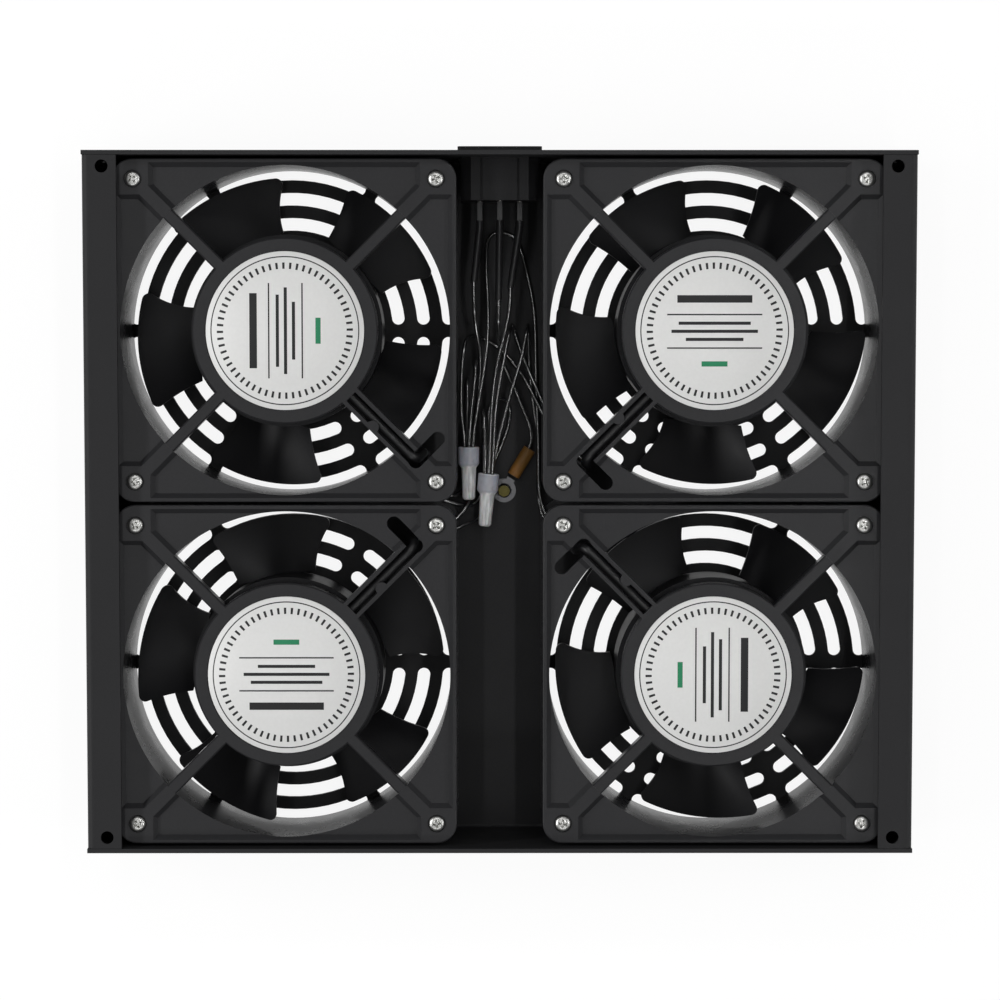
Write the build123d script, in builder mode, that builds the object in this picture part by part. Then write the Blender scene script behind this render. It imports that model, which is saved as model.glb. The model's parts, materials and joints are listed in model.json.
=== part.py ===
"""Rack fan tray: a folded steel tray with four axial fans, a power inlet and loose wiring.

Origin at the centre of the plate's underside, +Y towards the wall with the inlet, +Z towards the open side.
Lengths are in millimetres.
"""
import os
from math import asin, cos, degrees, radians, sin, tan

from build123d import *

# Fan size and the room around each fan
fan_size = 119.0
fan_depth = 38.0
fan_hole_inset = 7.1
aisle_width = 30.0
fan_gap = 1.0
side_gap = 8.5
end_gap = 1.0
top_gap = 3.0

# Folded tray
sheet = 1.5
bend_radius = 1.0
flange_width = 12.0
seam_gap = 0.1
corner_hole_radius = 2.25
corner_hole_inset_x = 7.0
corner_hole_inset_y = 5.5

# Slot pattern under each fan
slot_width = 4.5
slot_bar = 4.5
slot_rings = 3
slot_webs = 6
slot_web = 4.5
slot_edge_inset = 1.0

# Fan frame casting
frame_corner_radius = 7.0
frame_flange = 4.0
frame_edge_radius = 0.6
bore_rim = 2.3
barrel_inset = 0.4
pocket_rim = 1.4
pocket_depth = 1.6
pocket_slope = 45.0
corner_pad = 12.5
fan_hole_radius = 2.15
strut_width = 4.2
strut_depth = 5.6
strut_chamfer = 0.5
spider_seam = 0.02
hub_radius = 32.2
hub_depth = 5.5
hub_plate = 1.8
hub_rim = 2.6
hub_chamfer = 0.5

# Lead channel in one strut
channel_wall = 1.4
channel_floor = 1.2
channel_clearance = 0.5
channel_barrel_gap = 3.2
lead_slot_length = 10.8
lead_slot_width = 5.0
clip_radius = 2.2
clip_thickness = 1.2
clip_shift = 0.3
sleeve_radius = 1.7
sleeve_start = 27.5
sleeve_drop = 9.0
sleeve_bend = 3.5
sleeve_hole_clearance = 0.15
sleeve_floor_clearance = 0.3
sleeve_top_clearance = 0.4

# Label on the hub
label_radius = 27.5
label_thickness = 0.3
label_recess = 0.5
label_clearance = 0.3

# Impeller
impeller_hub_radius = 33.5
impeller_wall = 2.0
impeller_base = 2.2
impeller_floor_gap = 5.0
impeller_top_gap = 1.2
impeller_boss_wall = 2.6
impeller_boss_height = 1.6
tip_gap = 2.7
blade_count = 5
blade_span = 46.0
blade_thickness = 1.8
blade_rise = 17.0
blade_camber = 3.0
blade_corner = 2.4
blade_tip_sweep = 1.0
blade_edge_bows = (2.2, 1.0)
blade_overlap = 1.0
blade_edge_gap = 1.5

# Motor
shaft_radius = 2.5
running_clearance = 0.04
press_clearance = 0.01
bush_wall = 2.4
bush_length = 7.0
bush_inset = 0.6
tube_wall = 2.0
tube_end_gap = 0.8
rotor_wall = 5.4
rotor_length = 19.0
air_gap = 0.5
core_ring = 3.4
pole_count = 4
pole_width = 6.0
pole_shoe = 2.4
pole_shoe_angle = 68.0
coil_wall = 3.0
coil_gap = 0.4
coil_overhang = 2.2
coil_floor_gap = 1.2

# Fan screws
screw_radius = 1.5
screw_head_radius = 2.75
screw_head_height = 2.0
screw_head_fillet = 0.7
screw_recess = 0.8
screw_recess_clearance = 0.4
screw_tip_inset = 0.2
thread_clearance = 0.02

# Power inlet
inlet_height = 22.0
bezel_width = 29.4
bezel_height = 23.0
bezel_thickness = 2.0
bezel_corner = 1.6
socket_width = 24.4
socket_height = 16.4
socket_depth = 16.5
socket_chamfer = 2.8
inlet_wall = 1.3
inlet_back = 2.0
inlet_clearance = 0.3
groove_width = 0.8
groove_depth = 0.9
groove_spacing = 12.8
latch_height = 0.9
latch_length = 4.0
latch_width = 7.0
latch_clearance = 0.15
pin_spacing = 7.0
pin_offset = 2.0
pin_thickness = 2.0
pin_width = 4.0
pin_recess = 2.5
pin_clearance = 0.05
tab_thickness = 0.8
tab_width = 4.8
tab_length = 9.0
tab_grip = 2.2
tab_clearance = 0.15
terminal_sleeve_wall = 1.0
terminal_neck_wall = 0.3
terminal_neck_gap = 0.2
terminal_sleeve_end_radius = 1.2

# Where each terminal sleeve ends, seen from its start: sideways, towards the rear, down
terminal_sleeve_reach = {
    "left": (-2.2, -21.5, -2.5),
    "middle": (-0.4, -28.0, -4.0),
    "right": (-3.2, -23.5, -2.5),
}

# Earth lug and stud
stud_x = 1.6
stud_y = 2.4
stud_radius = 2.0
stud_height = 5.0
stud_head_radius = 3.2
stud_head_height = 0.8
lug_radius = 4.3
lug_hole_clearance = 0.6
lug_thickness = 0.8
lug_neck_width = 3.0
lug_neck_length = 6.4
lug_barrel_radius = 1.6
lug_barrel_length = 6.5
lug_sleeve_wall = 0.65
lug_sleeve_length = 11.2
lug_angle = 58.5
lug_clearance = 0.05

# Crimp caps: mouth centre and the angle that the tip points to
cap_height = 8.6
cap_places = {"line_cap": (-11.1, 18.4, -90.0), "neutral_cap": (-3.9, 8.8, -94.5)}
cap_skirt_radius = 3.75
cap_wall = 0.6
cap_skirt_length = 6.0
cap_neck_length = 1.4
cap_tip_radius = 2.35
cap_length = 19.0
cap_tip_fillet = 0.9
cap_barrel_radius = 2.05
cap_barrel_length = 10.6
cap_barrel_clearance = 0.03

# Wires: the two leads of each fan, and the three wires from the inlet
wire_radius = 0.7
wire_pair_pitch = 1.5
wire_ring_radius = 1.31
wire_end_gap = 0.05
bend_share = 0.45
lead_exit_run = 5.5
supply_exit_run = 7.5
cap_entry_run = 1.5
lug_entry_run = 6.0

# The wires in each cap, clockwise from the top as seen from its mouth
cap_wires = {
    "line_cap": ("rear_left_line_lead", "rear_right_line_lead", "line_supply", "front_left_line_lead",
                 "front_right_line_lead"),
    "neutral_cap": ("neutral_supply", "front_right_neutral_lead", "rear_right_neutral_lead",
                    "rear_left_neutral_lead", "front_left_neutral_lead"),
}

# Each wire's turning points between its exit and its entry:
# down to the plate, along the aisle, up a loop and back
wire_turns = {
    "front_left_line_lead": [
        (-26.2, 14.0, 15.5), (-26.6, 7.0, 11.0), (-21.6, 1.6, 8.4), (-15.8, 0.2, 5.6), (-12.2, 3.6, 2.6),
        (-11.6, 11.0, 2.3), (-11.5, 22.0, 2.3), (-11.7, 32.0, 2.3), (-11.8, 41.0, 2.3), (-11.7, 44.0, 8.0),
        (-11.5, 39.6, 12.9), (-11.6, 29.6, 9.4),
    ],
    "front_right_line_lead": [
        (29.2, 12.4, 15.0), (23.0, 18.0, 10.2), (17.5, 26.5, 7.6), (13.0, 35.0, 5.8), (8.4, 44.0, 2.8),
        (2.0, 52.0, 2.3), (-5.0, 57.5, 2.8), (-11.8, 58.8, 7.0), (-13.2, 51.0, 10.8), (-13.8, 41.0, 11.4),
        (-13.8, 30.4, 10.6),
    ],
    "rear_left_line_lead": [
        (-30.2, -12.6, 15.5), (-25.0, -12.6, 10.8), (-18.4, -9.6, 8.6), (-13.6, -6.0, 7.4), (-10.0, 0.0, 4.4),
        (-9.5, 9.0, 2.3), (-9.4, 20.0, 2.3), (-9.2, 31.0, 2.3), (-9.0, 40.0, 2.3), (-8.7, 48.0, 2.3),
        (-8.5, 50.8, 7.8), (-8.6, 47.0, 12.7), (-9.3, 38.0, 12.0), (-10.4, 29.4, 11.0),
    ],
    "rear_right_line_lead": [
        (24.6, -15.0, 15.6), (20.8, -12.0, 11.8), (16.9, -7.0, 9.9), (14.3, 0.0, 7.8), (14.0, 8.0, 5.0),
        (14.0, 17.0, 4.0), (13.8, 26.0, 4.0), (13.2, 38.0, 3.6), (13.0, 53.0, 2.3), (12.6, 68.0, 2.3),
        (9.4, 83.0, 2.3), (5.8, 95.0, 2.4), (-4.4, 95.6, 3.4), (-5.0, 82.0, 6.4), (-4.0, 69.0, 10.0),
        (-4.2, 56.0, 12.2), (-6.0, 43.0, 11.6), (-8.2, 31.0, 9.9),
    ],
    "front_left_neutral_lead": [
        (-27.8, 15.0, 14.6), (-28.6, 7.6, 9.8), (-23.6, 0.4, 7.6), (-15.6, -2.2, 6.2), (-9.4, -3.6, 2.3),
        (-5.7, 2.6, 2.3), (-5.9, 12.0, 2.3), (-5.8, 21.0, 2.3), (-5.7, 29.6, 2.3), (-5.6, 32.5, 7.8),
        (-5.6, 28.6, 12.6), (-5.3, 20.0, 10.6),
    ],
    "front_right_neutral_lead": [
        (30.4, 13.6, 16.4), (24.2, 19.2, 11.9), (18.8, 27.8, 9.2), (14.4, 36.6, 7.4), (10.2, 46.0, 4.0),
        (7.4, 53.0, 2.4), (5.4, 60.0, 2.3), (4.5, 62.9, 7.8), (3.2, 59.0, 12.6), (1.8, 51.0, 12.9),
        (0.2, 43.0, 12.2), (-1.4, 33.0, 11.0), (-2.0, 21.4, 9.6),
    ],
    "rear_left_neutral_lead": [
        (-31.4, -14.4, 14.4), (-24.6, -15.6, 9.4), (-17.4, -12.2, 7.9), (-12.6, -9.8, 5.9), (-7.4, -8.0, 2.6),
        (-4.0, -3.6, 2.3), (-3.9, 4.0, 2.3), (-2.4, 12.0, 2.3), (1.0, 19.5, 2.3), (3.5, 26.6, 2.3),
        (3.9, 33.4, 2.3), (0.0, 36.4, 5.2), (-3.9, 33.6, 8.0), (-4.0, 21.8, 7.5),
    ],
    "rear_right_neutral_lead": [
        (25.8, -16.2, 14.4), (21.4, -13.6, 9.6), (16.8, -9.4, 7.9), (14.2, -3.0, 6.0), (13.9, 4.0, 3.0),
        (14.0, 12.0, 2.3), (13.9, 22.0, 2.3), (12.0, 34.0, 2.3), (10.6, 47.0, 2.3), (10.3, 60.0, 2.3),
        (10.2, 62.9, 7.8), (9.6, 59.0, 12.6), (8.0, 51.0, 12.0), (5.2, 42.0, 10.8), (2.6, 33.0, 9.4),
        (-0.2, 21.8, 7.8),
    ],
    "line_supply": [
        (-8.6, 61.4, 12.8), (-6.7, 52.0, 9.4), (-7.0, 41.0, 7.6), (-8.8, 30.4, 7.4),
    ],
    "neutral_supply": [
        (1.8, 59.0, 16.2), (-0.9, 49.0, 14.6), (-2.6, 37.0, 12.8), (-3.3, 22.6, 10.8),
    ],
    "earth_supply": [
        (-0.5, 57.0, 13.6), (0.6, 50.0, 8.6), (3.2, 44.0, 6.4), (6.0, 38.0, 5.2), (8.9, 31.0, 4.6),
        (11.3, 25.0, 4.2),
    ],
}

# Sizes that follow
fan_hole_pitch = fan_size - 2 * fan_hole_inset
fan_pitch_x = fan_size + aisle_width
fan_pitch_y = fan_size + fan_gap
tray_width = fan_pitch_x + fan_size + 2 * (side_gap + sheet)
tray_depth = fan_pitch_y + fan_size + 2 * (end_gap + sheet)
tray_height = sheet + fan_depth + top_gap + sheet
outer_bend = bend_radius + sheet
bore_radius = fan_size / 2 - bore_rim
barrel_radius = fan_size / 2 - barrel_inset
tip_radius = bore_radius - tip_gap
slot_ring_radius = fan_size / 2 - slot_edge_inset - slot_width / 2
channel_reach = barrel_radius + channel_barrel_gap + sleeve_radius
channel_width = 2 * (sleeve_radius + channel_clearance)
sleeve_height = fan_depth - hub_plate - sleeve_radius - sleeve_top_clearance
channel_floor_height = sleeve_height - sleeve_radius - sleeve_floor_clearance
lead_strut_bottom = channel_floor_height - channel_floor
lead_strut_width = channel_width + 2 * channel_wall
impeller_top = min(fan_depth - hub_depth, lead_strut_bottom) - impeller_top_gap
bush_radius = shaft_radius + running_clearance + bush_wall
tube_bore = bush_radius + press_clearance
tube_radius = tube_bore + tube_wall
tube_bottom = impeller_floor_gap + impeller_base + impeller_boss_height + tube_end_gap
tube_top = fan_depth - hub_plate
rotor_outer = impeller_hub_radius - impeller_wall - press_clearance
rotor_inner = rotor_outer - rotor_wall
stator_radius = rotor_inner - air_gap
rotor_bottom = impeller_floor_gap + impeller_base
stack_middle = rotor_bottom + rotor_length / 2
stack_height = rotor_length - 2 * (coil_overhang + coil_gap + coil_floor_gap)
screw_seat = sheet + fan_depth - screw_recess
front_face = tray_depth / 2
socket_outer_width = socket_width + 2 * inlet_wall
socket_outer_height = socket_height + 2 * inlet_wall
inlet_reach = socket_depth - bezel_thickness + inlet_back
tab_end = front_face - inlet_reach - tab_length
lug_hole_radius = stud_radius + lug_hole_clearance
lug_sleeve_radius = lug_barrel_radius + lug_clearance + lug_sleeve_wall
lug_axis_height = sheet + lug_sleeve_radius + lug_clearance

# Each fan: its side of the tray, the turn that points its lead to the middle, and its impeller's rest angle
fans = {
    "front_left": (-1, 1, 90, 44.0),
    "front_right": (1, 1, 0, 49.5),
    "rear_left": (-1, -1, 180, 26.0),
    "rear_right": (1, -1, -90, 50.5),
}
fan_centres = [(side * fan_pitch_x / 2, end * fan_pitch_y / 2) for side, end, _, _ in fans.values()]

os.makedirs("parts", exist_ok=True)


def save(piece, name):
    """Labels a finished piece and writes its file."""
    piece.part.label = name
    export_step(piece.part, f"parts/{name}.step")


# Tray: side channel, end walls, slots and holes
inner_edge = tray_width / 2 - flange_width
end_bend_line = tray_depth / 2 - outer_bend
side_bend_line = tray_width / 2 - outer_bend

with BuildPart() as tray:
    with BuildSketch(Plane.XZ):
        with BuildLine():
            outside = FilletPolyline(
                (-inner_edge, tray_height),
                (-tray_width / 2, tray_height),
                (-tray_width / 2, 0),
                (tray_width / 2, 0),
                (tray_width / 2, tray_height),
                (inner_edge, tray_height),
                radius=outer_bend,
            )
            inside = FilletPolyline(
                (-inner_edge, tray_height - sheet),
                (-tray_width / 2 + sheet, tray_height - sheet),
                (-tray_width / 2 + sheet, sheet),
                (tray_width / 2 - sheet, sheet),
                (tray_width / 2 - sheet, tray_height - sheet),
                (inner_edge, tray_height - sheet),
                radius=bend_radius,
            )
            Line(outside @ 0, inside @ 0)
            Line(outside @ 1, inside @ 1)
        make_face()
    extrude(amount=tray_depth / 2 - sheet - seam_gap, both=True)
    # Corner relief: between the side bends, the plate stops at the bend of each end wall
    with BuildSketch(Plane.XY):
        for end in (-1, 1):
            with Locations((0, end * (end_bend_line + outer_bend))):
                Rectangle(2 * (side_bend_line + seam_gap), 2 * outer_bend)
    extrude(amount=sheet, mode=Mode.SUBTRACT)
    # End walls: a bend across the plate's width, and a wall across the whole width above the bend
    for end in (-1, 1):
        with BuildSketch(Plane.YZ):
            with BuildLine():
                wall_out = FilletPolyline(
                    (end * (end_bend_line - sheet), 0),
                    (end * tray_depth / 2, 0),
                    (end * tray_depth / 2, tray_height),
                    radius=outer_bend,
                )
                wall_in = FilletPolyline(
                    (end * (end_bend_line - sheet), sheet),
                    (end * (tray_depth / 2 - sheet), sheet),
                    (end * (tray_depth / 2 - sheet), tray_height),
                    radius=bend_radius,
                )
                Line(wall_out @ 0, wall_in @ 0)
                Line(wall_out @ 1, wall_in @ 1)
            make_face()
        extrude(amount=side_bend_line, both=True)
        with BuildSketch(Plane.XZ.offset(-end * (tray_depth - sheet) / 2)):
            with Locations((0, (tray_height + outer_bend) / 2)):
                Rectangle(tray_width, tray_height - outer_bend)
        extrude(amount=sheet / 2, both=True)
    with BuildSketch(Plane.XY):
        for ring in range(slot_rings):
            ring_radius = slot_ring_radius - ring * (slot_width + slot_bar)
            web_angle = degrees(asin((slot_web + slot_width) / 2 / ring_radius))
            slot_sweep = 360 / slot_webs - 2 * web_angle
            slot_line = CenterArc((0, 0), ring_radius, web_angle, slot_sweep, mode=Mode.PRIVATE)
            with Locations(*fan_centres):
                with PolarLocations(0, slot_webs):
                    SlotArc(slot_line, slot_width)
    extrude(amount=sheet, mode=Mode.SUBTRACT)
    # Tapped holes for the fan screws
    with Locations(*[(x, y, sheet) for x, y in fan_centres]):
        with GridLocations(fan_hole_pitch, fan_hole_pitch, 2, 2):
            Hole(screw_radius + thread_clearance, sheet)
    # Mounting holes in the flanges
    with Locations((0, 0, tray_height)):
        with GridLocations(tray_width - 2 * corner_hole_inset_x, tray_depth - 2 * corner_hole_inset_y, 2, 2):
            Hole(corner_hole_radius, sheet)
    # Seat of the earth stud, with its head flush in the underside
    with Locations(Location((stud_x, stud_y, 0), (180, 0, 0))):
        CounterBoreHole(
            stud_radius + thread_clearance, stud_head_radius + thread_clearance, stud_head_height, sheet
        )
    # Inlet cut-out
    with BuildSketch(Plane.XZ.offset(-front_face)) as cut_out:
        with Locations((0, inlet_height)):
            Rectangle(socket_outer_width + 2 * inlet_clearance, socket_outer_height + 2 * inlet_clearance)
        chamfer(cut_out.vertices().group_by(Axis.Y)[-1], socket_chamfer + inlet_wall / 2)
    extrude(amount=sheet, mode=Mode.SUBTRACT)
save(tray, "tray_shell")

# Fan frame: two flanges on a barrel, then the struts, hub dish and bearing tube
strut_angles = [45, 135, 315]
lead_angle = 225
strut_middle = (hub_radius + bore_radius) / 2
strut_length = bore_radius - hub_radius + bore_rim
clip_distance = strut_middle + clip_shift
pad_middle = (fan_size - corner_pad) / 2
elbow = channel_reach / 2**0.5
lead_slot_middle = lead_slot_length / 2 / 2**0.5

with BuildPart() as frame:
    for level in (0, fan_depth - frame_flange):
        with BuildSketch(Plane.XY.offset(level)):
            RectangleRounded(fan_size, fan_size, frame_corner_radius)
        extrude(amount=frame_flange)
    fillet(frame.edges().group_by(Axis.Z)[-1], frame_edge_radius)
    with BuildSketch(Plane.XY):
        Circle(barrel_radius)
    extrude(amount=fan_depth - frame_flange / 2)
    # Sloped pockets in the top flange, between rim, corner pads and struts
    with BuildSketch(Plane.XY.offset(fan_depth)):
        Rectangle(fan_size - 2 * pocket_rim, fan_size - 2 * pocket_rim)
        with GridLocations(2 * pad_middle, 2 * pad_middle, 2, 2):
            Rectangle(corner_pad, corner_pad, mode=Mode.SUBTRACT)
        Circle(bore_radius - 2 * pocket_depth, mode=Mode.SUBTRACT)
        for angle in strut_angles:
            with Locations(Location((0, 0), angle)):
                Rectangle(2 * fan_size, strut_width, align=(Align.MIN, Align.CENTER), mode=Mode.SUBTRACT)
        with Locations(Location((0, 0), lead_angle)):
            Rectangle(2 * fan_size, lead_strut_width, align=(Align.MIN, Align.CENTER), mode=Mode.SUBTRACT)
    extrude(amount=-pocket_depth, taper=pocket_slope, mode=Mode.SUBTRACT)
    with BuildSketch(Plane.XY):
        Circle(bore_radius)
    extrude(amount=fan_depth, mode=Mode.SUBTRACT)
    # Hub dish, open below
    with BuildSketch(Plane.XY.offset(fan_depth)):
        Circle(hub_radius)
    extrude(amount=-hub_depth)
    chamfer(frame.edges().filter_by(GeomType.CIRCLE).filter_by(
        lambda e: abs(e.radius - hub_radius) < 0.01 and e.center().Z > fan_depth - hub_plate), hub_chamfer)
    with BuildSketch(Plane.XY.offset(fan_depth - hub_depth)):
        Circle(hub_radius - hub_rim)
    extrude(amount=hub_depth - hub_plate, mode=Mode.SUBTRACT)
    with BuildSketch(Plane.XY.offset(fan_depth)):
        Circle(label_radius + label_clearance)
    extrude(amount=-label_recess, mode=Mode.SUBTRACT)
    # Struts from the hub into the bore's edge
    for angle in strut_angles:
        outward = Vector(cos(radians(angle)), sin(radians(angle)), 0)
        strut_start = outward * (strut_middle - strut_length / 2) + Vector(0, 0, fan_depth)
        with BuildSketch(Plane(strut_start, x_dir=Vector(0, 0, 1).cross(outward), z_dir=outward)) as strut:
            Rectangle(strut_width, strut_depth, align=(Align.CENTER, Align.MAX))
            chamfer(strut.vertices().group_by(Axis.Y)[-1], strut_chamfer)
        extrude(amount=strut_length)
    with BuildSketch(Plane.XY.offset(fan_depth)):
        with Locations(Location((0, 0), lead_angle)):
            with Locations((strut_middle, 0)):
                Rectangle(strut_length, lead_strut_width)
    extrude(amount=lead_strut_bottom - fan_depth)
    # Channel for the lead, its hole through the hub's rim, and the slot through the corner
    with BuildSketch(Plane.XY.offset(fan_depth)):
        with Locations(Location((0, 0), lead_angle)):
            with Locations((hub_radius, 0)):
                Rectangle(channel_reach - hub_radius, channel_width, align=(Align.MIN, Align.CENTER))
    extrude(amount=channel_floor_height - fan_depth, mode=Mode.SUBTRACT)
    with BuildSketch(Plane.XY.offset(fan_depth)):
        with Locations(Location((-elbow + lead_slot_middle, -elbow - lead_slot_middle), -45)):
            SlotOverall(lead_slot_length + lead_slot_width, lead_slot_width)
    extrude(amount=-frame_flange, mode=Mode.SUBTRACT)
    rim_start = hub_radius - 2 * hub_rim
    with BuildSketch(Plane(
        (rim_start * cos(radians(lead_angle)), rim_start * sin(radians(lead_angle)), sleeve_height),
        z_dir=(cos(radians(lead_angle)), sin(radians(lead_angle)), 0),
    )):
        Circle(sleeve_radius + sleeve_hole_clearance)
    extrude(amount=3 * hub_rim, mode=Mode.SUBTRACT)
    # Clip over the lead, half-way along the channel
    with BuildSketch(Plane.XY.offset(fan_depth)):
        with Locations(Location((0, 0), lead_angle)):
            with Locations((clip_distance, -channel_width / 2)):
                Circle(clip_radius)
            with Locations((clip_distance, -channel_width / 2 - channel_wall)):
                Rectangle(
                    3 * clip_radius, 2 * clip_radius, align=(Align.CENTER, Align.MAX), mode=Mode.SUBTRACT
                )
    extrude(amount=-clip_thickness)
    # Bearing tube
    with BuildSketch(Plane.XY.offset(tube_bottom)):
        Circle(tube_radius)
    extrude(amount=tube_top - tube_bottom)
    with BuildSketch(Plane.XY.offset(tube_bottom)):
        Circle(tube_bore)
    extrude(amount=tube_top - tube_bottom, mode=Mode.SUBTRACT)
    # Screw holes, with a shallow seat for each head
    with Locations((0, 0, fan_depth)):
        with GridLocations(fan_hole_pitch, fan_hole_pitch, 2, 2):
            CounterBoreHole(
                fan_hole_radius, screw_head_radius + screw_recess_clearance, screw_recess, fan_depth
            )
    # Hairline seam where the spider of hub and struts meets the housing's bore
    with BuildSketch(Plane.XY):
        Circle(bore_radius)
        Circle(bore_radius - spider_seam, mode=Mode.SUBTRACT)
    extrude(amount=fan_depth, mode=Mode.SUBTRACT)

# Label
with BuildPart() as label:
    with BuildSketch(Plane.XY.offset(fan_depth - label_recess)):
        Circle(label_radius)
    extrude(amount=label_thickness)

# Lead sleeve: along the channel, then down through the corner slot
channel_direction = Vector(cos(radians(lead_angle)), sin(radians(lead_angle)), 0)
slot_direction = Vector(cos(radians(lead_angle + 90)), sin(radians(lead_angle + 90)), 0)
sleeve_turn = channel_direction * channel_reach + Vector(0, 0, sleeve_height)
sleeve_end = sleeve_turn + slot_direction * sleeve_bend - Vector(0, 0, sleeve_drop)

with BuildPart() as lead_sleeve:
    with BuildLine() as sleeve_line:
        FilletPolyline(
            channel_direction * sleeve_start + Vector(0, 0, sleeve_height),
            sleeve_turn,
            sleeve_end,
            radius=sleeve_bend,
        )
    with BuildSketch(Plane(sleeve_line.line @ 0, z_dir=sleeve_line.line % 0)):
        Circle(sleeve_radius)
    sweep()

# Stator core: a ring and poles with curved shoes
stack_bottom = stack_middle - stack_height / 2
core_inner = tube_radius + press_clearance
core_outer = core_inner + core_ring

with BuildPart() as stator_core:
    with BuildSketch(Plane.XY.offset(stack_bottom)):
        Circle(core_outer)
        with PolarLocations(0, pole_count):
            Rectangle(stator_radius - pole_shoe / 2, pole_width, align=(Align.MIN, Align.CENTER))
        for pole in range(pole_count):
            shoe_start = pole * 360 / pole_count - pole_shoe_angle / 2
            shoe_line = CenterArc((0, 0), stator_radius - pole_shoe / 2, shoe_start, pole_shoe_angle,
                                  mode=Mode.PRIVATE)
            SlotArc(shoe_line, pole_shoe)
        Circle(core_inner, mode=Mode.SUBTRACT)
    extrude(amount=stack_height)

# Windings: one coil round each pole
coil_start = core_outer + 2 * coil_gap
coil_hole_width = pole_width + 2 * coil_gap
coil_half_width = coil_hole_width / 2 + coil_wall
coil_end = ((stator_radius - pole_shoe - coil_gap) ** 2 - coil_half_width**2) ** 0.5
coil_hole_height = stack_height + 2 * coil_gap

with BuildPart() as windings:
    for pole in range(pole_count):
        pole_angle = radians(pole * 360 / pole_count)
        pole_direction = Vector(cos(pole_angle), sin(pole_angle), 0)
        with BuildSketch(Plane(pole_direction * coil_start + Vector(0, 0, stack_middle),
                               x_dir=(0, 0, 1), z_dir=pole_direction)):
            RectangleRounded(coil_hole_height + 2 * coil_overhang, 2 * coil_half_width, coil_overhang / 2)
            Rectangle(coil_hole_height, coil_hole_width, mode=Mode.SUBTRACT)
        extrude(amount=coil_end - coil_start)

# Sleeve bushes at both ends of the bearing tube
with BuildPart() as bushes:
    for bush_bottom in (tube_bottom + bush_inset, tube_top - bush_inset - bush_length):
        with BuildSketch(Plane.XY.offset(bush_bottom)):
            Circle(bush_radius)
            Circle(shaft_radius + running_clearance, mode=Mode.SUBTRACT)
        extrude(amount=bush_length)

# Shaft
with BuildPart() as shaft:
    with BuildSketch(Plane.XY.offset(impeller_floor_gap)):
        Circle(shaft_radius)
    extrude(amount=tube_top - bush_inset - impeller_floor_gap)
    chamfer(shaft.edges(), shaft_radius / 8)

# Rotor ring, seated on the floor of the impeller's hub
with BuildPart() as rotor_ring:
    with BuildSketch(Plane.XY.offset(rotor_bottom)):
        Circle(rotor_outer)
        Circle(rotor_inner, mode=Mode.SUBTRACT)
    extrude(amount=rotor_length)

# One blade: a cambered band lofted from hub to tip, trimmed to its outline seen along the shaft
blade_bottom = impeller_floor_gap + blade_edge_gap
blade_top = blade_bottom + blade_rise
blade_root = impeller_hub_radius - blade_overlap
half_span = tan(radians(blade_span / 2))
blade_margin = 1.25

with BuildPart() as blade:
    for station in (blade_root, tip_radius):
        reach = station * half_span * blade_margin
        rise = blade_rise * blade_margin / 2
        middle = (blade_bottom + blade_top) / 2
        with BuildSketch(Plane((station, 0, middle), x_dir=(0, 1, 0), z_dir=(1, 0, 0))):
            with BuildLine():
                lower = ThreePointArc((-reach, -rise), (blade_camber / 2, -blade_camber), (reach, rise))
                upper = ThreePointArc(
                    (-reach, -rise + blade_thickness),
                    (blade_camber / 2, blade_thickness - blade_camber),
                    (reach, rise + blade_thickness),
                )
                Line(lower @ 0, upper @ 0)
                Line(lower @ 1, upper @ 1)
            make_face()
    loft()
    with BuildSketch(Plane.XY) as outline:
        with BuildLine():
            tip_start = -blade_span / 2 - blade_tip_sweep
            tip_arc = CenterArc((0, 0), tip_radius, tip_start, blade_span + blade_tip_sweep)
            root_arc = CenterArc((0, 0), blade_root, -blade_span / 2, blade_span)
            for edge_end, edge_bow in enumerate(blade_edge_bows):
                edge_middle = (tip_arc @ edge_end + root_arc @ edge_end) / 2
                inward = Vector(0, 0, 1 - 2 * edge_end).cross(edge_middle.normalized())
                ThreePointArc(tip_arc @ edge_end, edge_middle + inward * edge_bow, root_arc @ edge_end)
        make_face()
        fillet(outline.vertices().group_by(lambda v: round(Vector(v).length, 2))[-1], blade_corner)
    extrude(amount=fan_depth, mode=Mode.INTERSECT)

# Impeller: hub cup, boss for the shaft, and the blades
with BuildPart() as impeller:
    with BuildSketch(Plane.XY.offset(impeller_floor_gap)):
        Circle(impeller_hub_radius)
    extrude(amount=impeller_top - impeller_floor_gap)
    fillet(impeller.edges().group_by(Axis.Z)[0], impeller_wall)
    with BuildSketch(Plane.XY.offset(rotor_bottom)):
        Circle(impeller_hub_radius - impeller_wall)
        Circle(shaft_radius + impeller_boss_wall, mode=Mode.SUBTRACT)
    extrude(amount=impeller_top - rotor_bottom, mode=Mode.SUBTRACT)
    with BuildSketch(Plane.XY.offset(rotor_bottom + impeller_boss_height)):
        Circle(impeller_hub_radius - impeller_wall)
    extrude(amount=impeller_top - rotor_bottom, mode=Mode.SUBTRACT)
    with BuildSketch(Plane.XY.offset(impeller_floor_gap)):
        Circle(shaft_radius + press_clearance)
    extrude(amount=impeller_top, mode=Mode.SUBTRACT)
    with PolarLocations(0, blade_count):
        add(blade.part)

# The four fans
turned_pieces = {"frame": frame, "label": label, "lead_sleeve": lead_sleeve, "stator_core": stator_core,
                 "windings": windings, "bushes": bushes}
spinning_pieces = {"impeller": impeller, "rotor_ring": rotor_ring, "shaft": shaft}
exit_direction = (sleeve_end - sleeve_turn).normalized()
wire_starts = {}

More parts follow.
